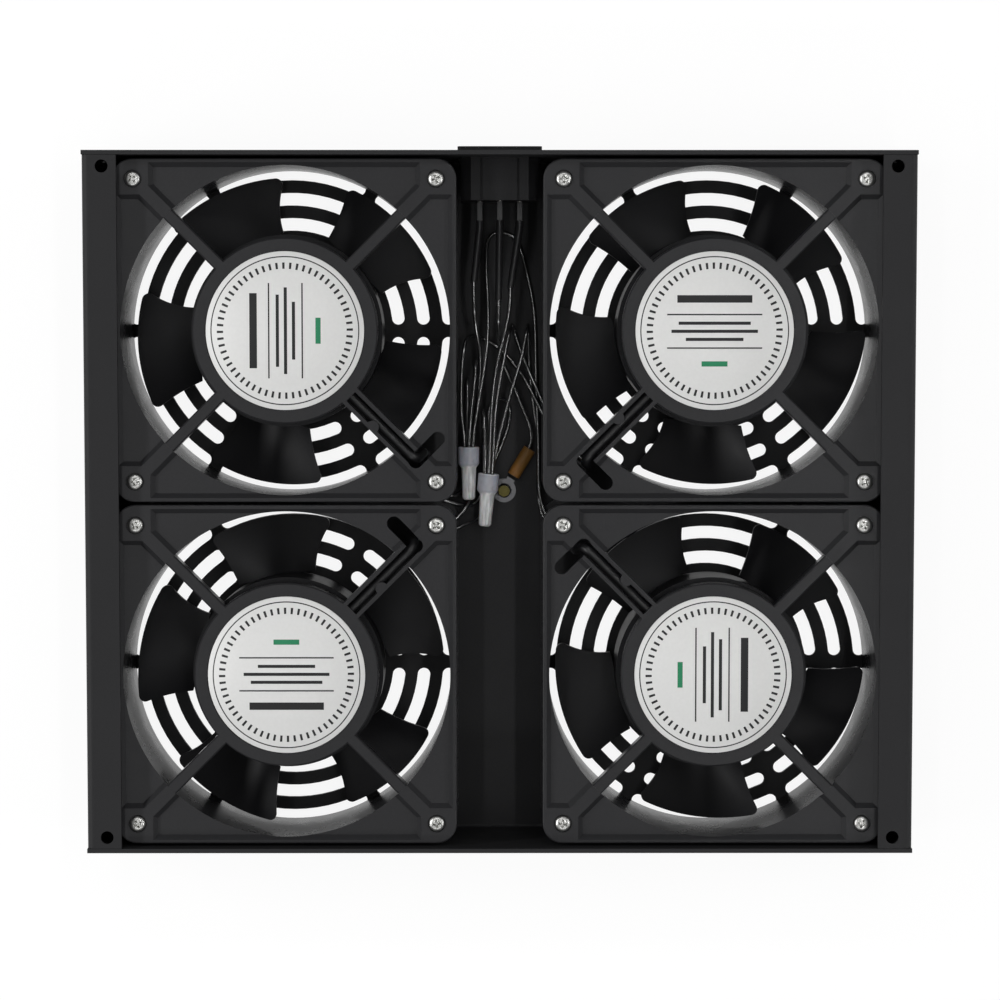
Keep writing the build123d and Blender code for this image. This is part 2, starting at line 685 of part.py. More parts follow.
for fan_name, (side, end, turn, rest_angle) in fans.items():
    fan_place = (side * fan_pitch_x / 2, end * fan_pitch_y / 2, sheet)
    for piece_name, piece in turned_pieces.items():
        with BuildPart() as fixed_copy:
            with Locations(Location(fan_place, (0, 0, turn))):
                add(piece.part)
        save(fixed_copy, f"{fan_name}_{piece_name}")
    for piece_name, piece in spinning_pieces.items():
        with BuildPart() as spinning_copy:
            with Locations(Location(fan_place, (0, 0, rest_angle))):
                add(piece.part)
        save(spinning_copy, f"{fan_name}_{piece_name}")
    lead_exit = exit_direction.rotate(Axis.Z, turn)
    for lead, step in (("line", 1), ("neutral", -1)):
        beside = (sleeve_end + channel_direction * (step * wire_pair_pitch / 2)).rotate(Axis.Z, turn)
        first = beside + Vector(fan_place) + lead_exit * wire_end_gap
        wire_starts[f"{fan_name}_{lead}_lead"] = (first, first + lead_exit * lead_exit_run)

# Fan screws
with BuildPart() as fan_screw:
    with BuildSketch(Plane.XY.offset(screw_seat)):
        Circle(screw_head_radius)
    extrude(amount=screw_head_height)
    fillet(fan_screw.edges().group_by(Axis.Z)[-1], screw_head_fillet)
    with BuildSketch(Plane.XY.offset(screw_tip_inset)):
        Circle(screw_radius)
    extrude(amount=screw_seat - screw_tip_inset)

with BuildPart() as fan_screws:
    with Locations(*fan_centres):
        with GridLocations(fan_hole_pitch, fan_hole_pitch, 2, 2):
            add(fan_screw.part)
save(fan_screws, "fan_screws")

# Power inlet: bezel outside the wall, socket through it, grooves and latches inside
pin_steps = {"left": (-1, -pin_offset), "middle": (0, pin_offset), "right": (1, -pin_offset)}

with BuildPart() as inlet_body:
    with BuildSketch(Plane.XZ.offset(-front_face)):
        with Locations((0, inlet_height)):
            RectangleRounded(bezel_width, bezel_height, bezel_corner)
    extrude(amount=-bezel_thickness)
    with BuildSketch(Plane.XZ.offset(-front_face)) as shroud:
        with Locations((0, inlet_height)):
            Rectangle(socket_outer_width, socket_outer_height)
        chamfer(shroud.vertices().group_by(Axis.Y)[-1], socket_chamfer + inlet_wall / 2)
    extrude(amount=inlet_reach)
    with BuildSketch(Plane.XZ.offset(-front_face - bezel_thickness)) as socket:
        with Locations((0, inlet_height)):
            Rectangle(socket_width, socket_height)
        chamfer(socket.vertices().group_by(Axis.Y)[-1], socket_chamfer)
    extrude(amount=socket_depth, mode=Mode.SUBTRACT)
    with BuildSketch(Plane.XZ.offset(-front_face + sheet + inlet_clearance)):
        with Locations((0, inlet_height + socket_outer_height / 2)):
            with GridLocations(groove_spacing, 0, 2, 1):
                Rectangle(groove_width, 2 * groove_depth)
    extrude(amount=inlet_reach, mode=Mode.SUBTRACT)
    latch_base = front_face - sheet - latch_clearance
    for side in (-1, 1):
        with BuildSketch(Plane.XY.offset(inlet_height)):
            with BuildLine():
                Polyline(
                    (side * (socket_outer_width / 2 - inlet_wall / 2), latch_base),
                    (side * (socket_outer_width / 2 + latch_height), latch_base),
                    (side * (socket_outer_width / 2 - inlet_wall / 2), latch_base - latch_length),
                    close=True,
                )
            make_face()
        extrude(amount=latch_width / 2, both=True)
    with BuildSketch(Plane.XZ.offset(-front_face + inlet_reach)):
        for step, offset_z in pin_steps.values():
            with Locations((step * pin_spacing, inlet_height + offset_z)):
                Rectangle(pin_thickness + 2 * pin_clearance, pin_width + 2 * pin_clearance)
    extrude(amount=-inlet_back, mode=Mode.SUBTRACT)
save(inlet_body, "inlet_body")

# Inlet contacts: a pin in the socket and a tab behind it
with BuildPart() as inlet_contacts:
    for step, offset_z in pin_steps.values():
        with BuildSketch(Plane.XZ.offset(-front_face + inlet_reach)):
            with Locations((step * pin_spacing, inlet_height + offset_z)):
                Rectangle(pin_thickness, pin_width)
        extrude(amount=-(inlet_back + socket_depth - pin_recess))
        with BuildSketch(Plane.XZ.offset(-front_face + inlet_reach)):
            with Locations((step * pin_spacing, inlet_height + offset_z)):
                Rectangle(tab_thickness, tab_width)
        extrude(amount=tab_length)
save(inlet_contacts, "inlet_contacts")

# Terminal sleeves: a thin flat neck over the tab, then wider, and round at the wire
supply_names = {"left": "line_supply", "middle": "earth_supply", "right": "neutral_supply"}

with BuildPart() as terminal_sleeves:
    for side_name, (step, offset_z) in pin_steps.items():
        shift_x, shift_y, shift_z = terminal_sleeve_reach[side_name]
        mouth = Vector(step * pin_spacing, tab_end + tab_grip, inlet_height + offset_z)
        neck = mouth + Vector(shift_x, shift_y, shift_z)
        first = neck - Vector(0, wire_end_gap, 0)
        wire_starts[supply_names[side_name]] = (first, first - Vector(0, supply_exit_run, 0))
        shoulder = mouth - Vector(0, tab_grip + 2 * tab_clearance, 0)
        with BuildSketch(Plane(mouth, x_dir=(1, 0, 0), z_dir=(0, -1, 0))):
            Ellipse(tab_thickness / 2 + terminal_sleeve_wall, tab_width / 2 + terminal_sleeve_wall)
        extrude(amount=tab_grip + 2 * tab_clearance)
        with BuildSketch(Plane(shoulder, x_dir=(1, 0, 0), z_dir=(0, -1, 0))):
            Ellipse(tab_thickness / 2 + terminal_sleeve_wall, tab_width / 2 + terminal_sleeve_wall)
        with BuildSketch(Plane(neck, x_dir=(1, 0, 0), z_dir=(0, -1, 0))):
            Circle(terminal_sleeve_end_radius)
        loft()
        tab_room = Vector(tab_thickness + 2 * tab_clearance, tab_width + 2 * tab_clearance)
        with BuildSketch(Plane(mouth, x_dir=(1, 0, 0), z_dir=(0, 1, 0))):
            Rectangle(tab_room.X + 2 * terminal_neck_wall, tab_room.Y + 2 * terminal_neck_wall)
        extrude(amount=tab_length - tab_grip - terminal_neck_gap)
        tab_tip = mouth - Vector(0, tab_grip + tab_clearance, 0)
        with BuildSketch(Plane(tab_tip, x_dir=(1, 0, 0), z_dir=(0, 1, 0))):
            Rectangle(tab_room.X, tab_room.Y)
        extrude(amount=tab_length + 2 * tab_clearance, mode=Mode.SUBTRACT)
save(terminal_sleeves, "terminal_sleeves")

# Earth stud, with its head flush in the plate
with BuildPart() as earth_stud:
    with BuildSketch(Plane.XY):
        with Locations((stud_x, stud_y)):
            Circle(stud_head_radius)
    extrude(amount=stud_head_height)
    with BuildSketch(Plane.XY):
        with Locations((stud_x, stud_y)):
            Circle(stud_radius)
    extrude(amount=sheet + stud_height)
save(earth_stud, "earth_stud")

# Earth lug: ring flat on the plate, neck rising to the crimp barrel
lug_direction = Vector(cos(radians(lug_angle)), sin(radians(lug_angle)), 0)
stud_point = Vector(stud_x, stud_y, 0)
lug_side = Plane(stud_point, x_dir=lug_direction, z_dir=lug_direction.cross(Vector(0, 0, 1)))
lug_axis = stud_point + Vector(0, 0, lug_axis_height)
barrel_end = lug_axis + lug_direction * (lug_neck_length + lug_barrel_length)
wire_ends = {
    "earth_supply": (barrel_end + lug_direction * lug_entry_run, barrel_end + lug_direction * wire_end_gap),
}

with BuildPart() as earth_lug:
    with BuildSketch(Plane.XY.offset(sheet)):
        with Locations((stud_x, stud_y)):
            Circle(lug_radius)
    extrude(amount=lug_thickness)
    with BuildSketch(lug_side):
        with BuildLine():
            Polyline(
                (lug_hole_radius, sheet),
                (lug_neck_length, sheet),
                (lug_neck_length, lug_axis_height),
                (lug_radius + lug_thickness, sheet + lug_thickness),
                (lug_hole_radius, sheet + lug_thickness),
                close=True,
            )
        make_face()
    extrude(amount=lug_neck_width / 2, both=True)
    with BuildSketch(Plane.XY.offset(sheet)):
        with Locations((stud_x, stud_y)):
            Circle(lug_hole_radius)
    extrude(amount=lug_thickness, mode=Mode.SUBTRACT)
    with BuildSketch(Plane(barrel_end, z_dir=lug_direction)):
        Circle(lug_barrel_radius)
    extrude(amount=-lug_barrel_length)
save(earth_lug, "earth_lug")

with BuildPart() as lug_sleeve:
    sleeve_foot = lug_axis + lug_direction * (lug_neck_length + lug_clearance)
    with BuildSketch(Plane(sleeve_foot, z_dir=lug_direction)):
        Circle(lug_sleeve_radius)
        Circle(lug_barrel_radius + lug_clearance, mode=Mode.SUBTRACT)
    extrude(amount=lug_sleeve_length)
save(lug_sleeve, "earth_lug_sleeve")

# Crimp caps: a nylon shell turned about its axis, and the metal barrel inside it
cap_shoulder = cap_skirt_length + cap_neck_length
cap_bore = cap_barrel_radius + cap_barrel_clearance
cap_bore_end = cap_shoulder + cap_barrel_length

for cap_name, (mouth_x, mouth_y, cap_angle) in cap_places.items():
    cap_direction = Vector(cos(radians(cap_angle)), sin(radians(cap_angle)), 0)
    mouth = Vector(mouth_x, mouth_y, cap_height)
    cap_plane = Plane(mouth, x_dir=(0, 0, 1), z_dir=Vector(0, 0, 1).cross(cap_direction))
    cap_axis = Axis(mouth, cap_direction)
    with BuildPart() as cap:
        with BuildSketch(cap_plane):
            with BuildLine():
                Polyline(
                    (cap_skirt_radius - cap_wall, 0),
                    (cap_skirt_radius, 0),
                    (cap_skirt_radius, cap_skirt_length),
                    (cap_bore + cap_wall, cap_shoulder),
                    (cap_tip_radius, cap_length - cap_tip_fillet),
                    (cap_tip_radius - cap_tip_fillet, cap_length),
                    (0, cap_length),
                    (0, cap_bore_end),
                    (cap_bore, cap_bore_end),
                    (cap_bore, cap_shoulder),
                    (cap_skirt_radius - cap_wall, cap_skirt_length),
                    close=True,
                )
            make_face()
        revolve(axis=cap_axis)
    save(cap, cap_name)
    with BuildPart() as cap_barrel:
        with BuildSketch(Plane(mouth + cap_direction * cap_shoulder, z_dir=cap_direction)):
            Circle(cap_barrel_radius)
        extrude(amount=cap_barrel_length - cap_barrel_clearance)
    save(cap_barrel, f"{cap_name}_barrel")
    for place, wire_name in enumerate(cap_wires[cap_name]):
        ring_angle = radians(90 - place * 360 / len(cap_wires[cap_name]))
        sideways = cap_plane.z_dir * (wire_ring_radius * cos(ring_angle))
        axis_point = mouth + sideways + Vector(0, 0, wire_ring_radius * sin(ring_angle))
        wire_ends[wire_name] = (axis_point - cap_direction * cap_entry_run,
                                axis_point + cap_direction * (cap_shoulder - wire_end_gap))


def bend_radii(points):
    """Returns the radius at each inner point of a route, from its shorter run and its turn."""
    radii = []
    for before, corner, after in zip(points, points[1:], points[2:]):
        arriving = corner - before
        leaving = after - corner
        half_turn = radians(arriving.get_angle(leaving)) / 2
        radii.append(bend_share * min(arriving.length, leaving.length) / tan(half_turn))
    return radii


# Wires: straight runs and tangent arcs through each wire's points
for wire_name, turns in wire_turns.items():
    route = [*wire_starts[wire_name], *[Vector(*turn) for turn in turns], *wire_ends[wire_name]]
    radii = bend_radii(route)
    print(wire_name, "smallest bend radius", round(min(radii), 1))
    with BuildPart() as wire:
        with BuildLine() as wire_line:
            FilletPolyline(*route, radius=radii)
        with BuildSketch(Plane(wire_line.line @ 0, z_dir=wire_line.line % 0)):
            Circle(wire_radius)
        sweep()
    save(wire, wire_name)
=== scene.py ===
"""Looks of a rack fan tray: finishes, wiring, crimp caps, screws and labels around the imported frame.

The file is laid out as an add-on and is run as a script. Lengths are in metres unless a name ends in _mm.
"""
import json
from collections import namedtuple
from math import cos, exp, pi, radians, sin

import bmesh
import bpy
from bpy.props import FloatProperty, FloatVectorProperty, PointerProperty
from mathutils import Matrix, Vector


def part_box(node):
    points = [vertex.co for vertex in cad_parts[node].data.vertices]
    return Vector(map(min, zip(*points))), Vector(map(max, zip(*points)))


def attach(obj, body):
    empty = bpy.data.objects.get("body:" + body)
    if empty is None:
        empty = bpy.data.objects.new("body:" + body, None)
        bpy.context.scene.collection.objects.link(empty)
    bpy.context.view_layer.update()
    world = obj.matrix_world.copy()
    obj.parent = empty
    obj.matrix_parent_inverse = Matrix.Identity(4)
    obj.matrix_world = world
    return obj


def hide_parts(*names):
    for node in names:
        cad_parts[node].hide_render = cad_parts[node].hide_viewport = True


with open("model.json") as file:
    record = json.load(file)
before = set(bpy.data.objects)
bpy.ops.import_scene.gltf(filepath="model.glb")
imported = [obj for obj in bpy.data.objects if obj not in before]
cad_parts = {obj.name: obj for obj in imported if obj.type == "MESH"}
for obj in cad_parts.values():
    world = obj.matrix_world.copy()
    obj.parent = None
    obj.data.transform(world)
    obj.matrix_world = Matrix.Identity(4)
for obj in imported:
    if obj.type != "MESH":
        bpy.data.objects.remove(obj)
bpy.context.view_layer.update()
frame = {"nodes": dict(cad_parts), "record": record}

bl_info = {
    "name": "Rack fan tray",
    "version": (1, 0, 0),
    "blender": (4, 5, 0),
    "location": "View3D > Sidebar > Fan tray",
    "description": "Finishes, wiring and small pieces of a rack fan tray",
    "category": "Object",
}

MM = 0.001
FANS = ("front_left", "front_right", "rear_left", "rear_right")
ROOT = "tray"

# Turning points of each wire, in millimetres, from where it leaves the object to where it goes back in
WIRE_ROUTES_MM = {
    "front_left_line_lead": (
        (-26.23, 16.7, 26.55), (-24.82, 18.11, 21.43), (-26.2, 14, 15.5), (-26.6, 7, 11), (-21.6, 1.6, 8.4),
        (-15.8, 0.2, 5.6), (-12.2, 3.6, 2.6), (-11.6, 11, 2.3), (-11.5, 22, 2.3), (-11.7, 32, 2.3),
        (-11.8, 41, 2.3), (-11.7, 44, 8), (-11.5, 39.6, 12.9), (-11.6, 29.6, 9.4), (-11.87, 19.9, 7.54),
        (-11.87, 11.05, 7.54),
    ),
    "front_right_line_lead": (
        (31.2, 11.73, 26.55), (32.61, 10.32, 21.43), (29.2, 12.4, 15), (23, 18, 10.2), (17.5, 26.5, 7.6),
        (13, 35, 5.8), (8.4, 44, 2.8), (2, 52, 2.3), (-5, 57.5, 2.8), (-11.8, 58.8, 7), (-13.2, 51, 10.8),
        (-13.8, 41, 11.4), (-13.8, 30.4, 10.6), (-12.35, 19.9, 9.01), (-12.35, 11.05, 9.01),
    ),
    "rear_left_line_lead": (
        (-31.2, -11.73, 26.55), (-32.61, -10.32, 21.43), (-30.2, -12.6, 15.5), (-25, -12.6, 10.8),
        (-18.4, -9.6, 8.6), (-13.6, -6, 7.4), (-10, 0, 4.4), (-9.5, 9, 2.3), (-9.4, 20, 2.3),
        (-9.2, 31, 2.3), (-9, 40, 2.3), (-8.7, 48, 2.3), (-8.5, 50.8, 7.8), (-8.6, 47, 12.7),
        (-9.3, 38, 12), (-10.4, 29.4, 11), (-11.1, 19.9, 9.91), (-11.1, 11.05, 9.91),
    ),
    "rear_right_line_lead": (
        (26.23, -16.7, 26.55), (24.82, -18.11, 21.43), (24.6, -15, 15.6), (20.8, -12, 11.8),
        (16.9, -7, 9.9), (14.3, 0, 7.8), (14, 8, 5), (14, 17, 4), (13.8, 26, 4), (13.2, 38, 3.6),
        (13, 53, 2.3), (12.6, 68, 2.3), (9.4, 83, 2.3), (5.8, 95, 2.4), (-4.4, 95.6, 3.4), (-5, 82, 6.4),
        (-4, 69, 10), (-4.2, 56, 12.2), (-6, 43, 11.6), (-8.2, 31, 9.9), (-9.85, 19.9, 9.01),
        (-9.85, 11.05, 9.01),
    ),
    "front_left_neutral_lead": (
        (-27.29, 17.76, 26.55), (-25.88, 19.17, 21.43), (-27.8, 15, 14.6), (-28.6, 7.6, 9.8),
        (-23.6, 0.4, 7.6), (-15.6, -2.2, 6.2), (-9.4, -3.6, 2.3), (-5.7, 2.6, 2.3), (-5.9, 12, 2.3),
        (-5.8, 21, 2.3), (-5.7, 29.6, 2.3), (-5.6, 32.5, 7.8), (-5.6, 28.6, 12.6), (-5.3, 20, 10.6),
        (-5.02, 10.39, 9.01), (-5.72, 1.57, 9.01),
    ),
    "front_right_neutral_lead": (
        (32.26, 12.79, 26.55), (33.67, 11.38, 21.43), (30.4, 13.6, 16.4), (24.2, 19.2, 11.9),
        (18.8, 27.8, 9.2), (14.4, 36.6, 7.4), (10.2, 46, 4), (7.4, 53, 2.4), (5.4, 60, 2.3),
        (4.5, 62.9, 7.8), (3.2, 59, 12.6), (1.8, 51, 12.9), (0.2, 43, 12.2), (-1.4, 33, 11),
        (-2, 21.4, 9.6), (-2.54, 10.2, 9.01), (-3.23, 1.38, 9.01),
    ),
    "rear_left_neutral_lead": (
        (-32.26, -12.79, 26.55), (-33.67, -11.38, 21.43), (-31.4, -14.4, 14.4), (-24.6, -15.6, 9.4),
        (-17.4, -12.2, 7.9), (-12.6, -9.8, 5.9), (-7.4, -8, 2.6), (-4, -3.6, 2.3), (-3.9, 4, 2.3),
        (-2.4, 12, 2.3), (1, 19.5, 2.3), (3.5, 26.6, 2.3), (3.9, 33.4, 2.3), (0, 36.4, 5.2),
        (-3.9, 33.6, 8), (-4, 21.8, 7.5), (-4.55, 10.36, 7.54), (-5.24, 1.53, 7.54),
    ),
    "rear_right_neutral_lead": (
        (27.29, -17.76, 26.55), (25.88, -19.17, 21.43), (25.8, -16.2, 14.4), (21.4, -13.6, 9.6),
        (16.8, -9.4, 7.9), (14.2, -3, 6), (13.9, 4, 3), (14, 12, 2.3), (13.9, 22, 2.3), (12, 34, 2.3),
        (10.6, 47, 2.3), (10.3, 60, 2.3), (10.2, 62.9, 7.8), (9.6, 59, 12.6), (8, 51, 12), (5.2, 42, 10.8),
        (2.6, 33, 9.4), (-0.2, 21.8, 7.8), (-3.02, 10.23, 7.54), (-3.71, 1.41, 7.54),
    ),
    "line_supply": (
        (-9.2, 77.95, 17.5), (-9.2, 70.45, 17.5), (-8.6, 61.4, 12.8), (-6.7, 52, 9.4), (-7, 41, 7.6),
        (-8.8, 30.4, 7.4), (-10.33, 19.9, 7.54), (-10.33, 11.05, 7.54),
    ),
    "neutral_supply": (
        (3.8, 75.95, 17.5), (3.8, 68.45, 17.5), (1.8, 59, 16.2), (-0.9, 49, 14.6), (-2.6, 37, 12.8),
        (-3.3, 22.6, 10.8), (-3.78, 10.29, 9.91), (-4.48, 1.47, 9.91),
    ),
    "earth_supply": (
        (-0.4, 71.45, 20), (-0.4, 63.95, 20), (-0.5, 57, 13.6), (0.6, 50, 8.6), (3.2, 44, 6.4),
        (6, 38, 5.2), (8.9, 31, 4.6), (11.3, 25, 4.2), (11.47, 18.52, 3.85), (8.37, 13.44, 3.85),
    ),
}

# How finely a wire is drawn: steps round its section, steps between turning points and order of its curve
WIRE_BEVEL_STEPS = 4
WIRE_CURVE_STEPS = 10
WIRE_CURVE_ORDER = 3

# Middle of each crimp cap's mouth and the way the cap points, in millimetres and degrees
CAP_MOUTHS_MM = {"line_cap": (-11.1, 18.4, -90.0), "neutral_cap": (-3.9, 8.8, -94.5)}
CAP_HEIGHT_MM = 8.6

# A crimp cap's outside from its tip to its mouth and its inside back again, as radius and height
CAP_TIP_MM = ((0, 19.0), (1.5, 18.95), (2.05, 18.6), (2.3, 18.0))
CAP_NECK_RADII_MM = (2.32, 2.64)
CAP_NECK_HEIGHTS_MM = (17.4, 16.2, 15.2, 14.4, 13.7, 13.0, 12.4, 11.8, 11.1, 10.4, 9.6, 8.6, 7.7)
CAP_SKIRT_MM = ((2.78, 7.3), (3.5, 6.35), (3.72, 5.95), (3.75, 5.6), (3.75, 0.3), (3.62, 0.05), (3.4, 0))
CAP_INSIDE_MM = ((3.2, 0.05), (3.16, 0.3), (3.16, 5.95), (2.09, 7.4), (2.09, 18.0), (0, 18.0))
CAP_SEGMENTS = 40

# Where the crimping tool pressed a cap: the middle and half length of the dent, and its share of the radius
CRIMP_HEIGHT_MM = 12.4
CRIMP_LENGTH_MM = 1.9
CRIMP_SHARE = 0.13

# Plain print on a hub label: marks round its edge, and bars given by height, half width and thickness
LABEL_TICKS = 60
LABEL_TICK_SHARE = 0.34
LABEL_SCALE_MM = (21.4, 23.6)
LABEL_BORDER_MM = (25.4, 25.8)
LABEL_BARS_MM = (
    (11.0, 13.0, 2.6), (5.6, 16.5, 0.5), (2.6, 12.5, 1.1),
    (-0.2, 15.0, 1.1), (-3.0, 10.0, 1.1), (-6.0, 16.5, 0.5),
)
LABEL_GREEN_BAR_MM = (-11.5, 4.5, 1.8)
LABEL_TURNS = {"front_left": 90, "front_right": 0, "rear_left": 180, "rear_right": -90}
LABEL_SEGMENTS = 96
BLACK_INK = (0.016, 0.016, 0.017, 1.0)
GREEN_INK = (0.02, 0.22, 0.10, 1.0)

# Grain of a label's foil, in waves per metre, with its detail and its two shades
FOIL_GRAIN_WAVES = 900.0
FOIL_GRAIN_DETAIL = 4.0
FOIL_GAINS = (0.96, 1.04)

# A fan screw's reach from the middle of its fan, its shank and head, and the cross in its head
SCREW_REACH_MM = 52.4
SCREW_SHANK_MM = 1.5
SCREW_POINT_MM = (0.3, 0.4)
SCREW_HEAD_MM = (
    (2.6, 0), (2.75, 0.15), (2.75, 0.8), (2.62, 1.25), (2.25, 1.62), (1.6, 1.88), (0.9, 1.98), (0, 2.0)
)
SCREW_SEGMENTS = 32
SCREW_SHARP_ANGLE = radians(35)
CROSS_TOP_MM = (1.75, 0.42, 2.3)
CROSS_BOTTOM_MM = (0.7, 0.26, 0.7)

# Colours along a crimp cap: its skirt in two shades, its rim, and where the skirt gives way to the barrel
CAP_SKIRT_COLOURS = ((0.38, 0.39, 0.44), (0.66, 0.67, 0.74))
CAP_RIM_COLOUR = (0.66, 0.67, 0.7)
CAP_RIM_MM = 0.5
CAP_SHOULDER_MM = (6.2, 7.2)

# Clouds in a crimp cap's nylon and lengthwise stripes of painted reflection over its barrel, in waves per
# metre, how much the painted reflection stands out, and its two gains, the brighter one adding painted light
CAP_CLOUD_WAVES = 420.0
CAP_REFLECTION_STREAK_WAVES = 900.0
CAP_REFLECTION_STREAK_STRETCH = (1.0, 1.0, 0.12)
CAP_REFLECTION_STREAK_FLOOR = 0.36
CAP_REFLECTION_STREAK_CONTRAST = 3.4
CAP_REFLECTION_STREAK_GAINS = (0.75, 1.6)

# The earth lug's sleeve: its patches and grain in waves per metre, the share of its colour left in the olive
# patches, and the gain of the others
SLEEVE_PATCH_WAVES = 150.0
SLEEVE_OLIVE_SHARES = (0.22, 0.36, 0.4)
SLEEVE_GAIN = 0.85
SLEEVE_GRAIN_WAVES = 1800.0
SLEEVE_GRAIN_DETAIL = 2.0

# Enamelled turns in a fan's windings, in waves per metre, with their unevenness and their two shades, darker
# in the grooves and lighter on the crests as painted shade and highlight
WINDING_WAVES = 420.0
WINDING_DISTORTION = 1.2
WINDING_DETAIL = 1.0
WINDING_SHADE_GAINS = (0.5, 1.2)

# Finishes with a pattern: the least roughness, what the pattern adds to it, and the depth of the relief
Pattern = namedtuple("Pattern", "roughness spread depth_mm")
PATTERNS = {
    "label_foil": Pattern(0.42, 0.16, 0.02),
    "cap_nylon": Pattern(0.22, 0.14, 0.04),
    "lug_sleeve_vinyl": Pattern(0.38, 0.2, 0.03),
    "winding_copper": Pattern(0.28, 0.2, 0.1),
}

# Paints and plastics by material slot. Grain is in waves per metre, dust is its share on upper sides,
# wall_gloss is how much smoother an upright wall is, and clear is the weight of a clear coat
COAT_FIELDS = ("roughness", "grain", "depth_mm", "dust", "shine", "wall_gloss", "clear")
Coat = namedtuple("Coat", COAT_FIELDS, defaults=(0.0, 0.5, 0.0, 0.0))
COATS = {
    "tray_paint": Coat(0.5, 1500.0, 0.03, dust=0.2, shine=0.16),
    "fan_frame_paint": Coat(0.36, 900.0, 0.02, dust=0.2, shine=0.22, wall_gloss=0.1),
    "impeller_plastic": Coat(0.4, 1200.0, 0.02, dust=0.1, shine=0.16),
    "lead_sleeve_vinyl": Coat(0.4, 1800.0, 0.02),
    "inlet_plastic": Coat(0.45, 1400.0, 0.03, shine=0.12),
    "terminal_vinyl": Coat(0.36, 1600.0, 0.02),
    "wire_vinyl": Coat(0.2, 2600.0, 0.0005, shine=1.0, clear=1.0),
}
CLEAR_COAT_ROUGHNESS = 0.15
CLEAR_COAT_IOR = 2.3
WORN_GAINS = (0.82, 1.18)
DUST_GAIN = 2.1
DUST_WAVES = 38.0
DUST_DETAIL = 4.0
SHEEN_WAVES = 130.0
SHEEN_SPREAD = 0.14
GRAIN_SPREAD = 0.05
WALL_SLOPE = 0.2

# Bare metals by material slot: roughness, tool marks in waves per metre, and how the marks are drawn out
Metal = namedtuple("Metal", "roughness marks stretch", defaults=((1.0, 1.0, 14.0),))
METALS = {
    "stator_steel": Metal(0.42, 300.0),
    "bush_bronze": Metal(0.45, 500.0),
    "rotor_steel": Metal(0.38, 300.0),
    "shaft_steel": Metal(0.22, 400.0),
    "contact_nickel": Metal(0.26, 600.0),
    "cap_barrel_tin": Metal(0.3, 500.0),
    "stud_steel": Metal(0.35, 700.0),
    "lug_tin": Metal(0.4, 500.0, None),
    "screw_steel": Metal(0.34, 900.0, None),
}
MARK_GAINS = (0.8, 1.12)
MARK_SPREAD = 0.2
MARK_MIDDLE = 0.4
MARK_DEPTH_MM = 0.02

# How much brighter or darker than the record's colour some pieces are
TRAY_GAIN = 1.1
FAN_FRAME_GAIN = 1.4
# The earth stud and lug are darkened: a painted shade
EARTH_SHADE_GAIN = 0.6
INLET_GAIN = 0.8

# Strip lamps: where each stands, its turn about its own axis, and its width
LAMPS = {
    "left": ((-1.2, 0.05, 0.72), 0.0, 0.12),
    "right": ((1.2, 0.05, 0.72), 0.0, 0.12),
    "left_top": ((-0.32, 0.05, 1.25), 0.0, 0.04),
    "right_top": ((0.32, 0.05, 1.25), 0.0, 0.04),
    "front": ((0.0, 0.8, 1.0), pi / 2, 0.12),
    "rear": ((0.0, -0.85, 0.9), pi / 2, 0.12),
}
LAMP_LENGTH = 1.2

# The floor's reach and its drop under the tray, and the width of the painted shadow, a dark band that it has
# under the tray's rim
FLOOR_REACH = 8.0
FLOOR_DROP = 0.0002
PAINTED_SHADOW_WIDTH = 3.5 * MM
FLOOR_COLOUR = (0.8, 0.8, 0.8, 1.0)
FLOOR_SHADOW_COLOUR = (0.12, 0.12, 0.12, 1.0)

# Width of the camera's sensor
SENSOR_WIDTH_MM = 36.0


def slot_colour(slot, gain=1.0):
    """Returns the record's colour for a material slot, as red, green and blue, changed by a gain."""
    for material in frame["record"]["materials"]:
        if material["slot"] == slot:
            return tuple(part * gain for part in material["base_color"][:3])
    raise ValueError(f"the record has no material slot named {slot}")


def colour_property(name, description, slot, gain=1.0):
    """Returns a colour setting whose default is the record's colour for a slot, changed by a gain."""
    return FloatVectorProperty(
        name=name, description=description, subtype="COLOR", size=3, min=0.0, max=1.0,
        default=slot_colour(slot, gain)
    )


def strength_property(name, description, default):
    """Returns a setting for the strength of a lamp or of another light."""
    return FloatProperty(name=name, description=description, default=default, min=0.0)


class FinishSettings(bpy.types.PropertyGroup):
    """Colours of the tray's finishes and the sizes of its small pieces."""

    tray: colour_property("Tray", "Powder coat on the folded steel", "tray_paint", TRAY_GAIN)
    fan_frame: colour_property(
        "Fan frame", "Paint on the cast fan frames", "fan_frame_paint", FAN_FRAME_GAIN
    )
    impeller: colour_property("Impeller", "Plastic of the impellers", "impeller_plastic")
    label: colour_property("Label", "Foil of the hub labels", "label_foil")
    wire: colour_property("Wire", "Insulation of the wires", "wire_vinyl")
    cap: colour_property("Crimp cap", "Nylon of the crimp caps", "cap_nylon")
    lug_sleeve: colour_property("Lug sleeve", "Sleeve on the earth lug", "lug_sleeve_vinyl")
    screw: colour_property("Screw", "Plating of the fan screws", "screw_steel")
    wire_diameter: FloatProperty(
        name="Wire diameter", description="Outside diameter of a wire", unit="LENGTH", default=1.4 * MM
    )
    screw_turn: FloatProperty(
        name="Screw turn", description="Turn between one screw's cross and the next", subtype="ANGLE",
        default=radians(37)
    )


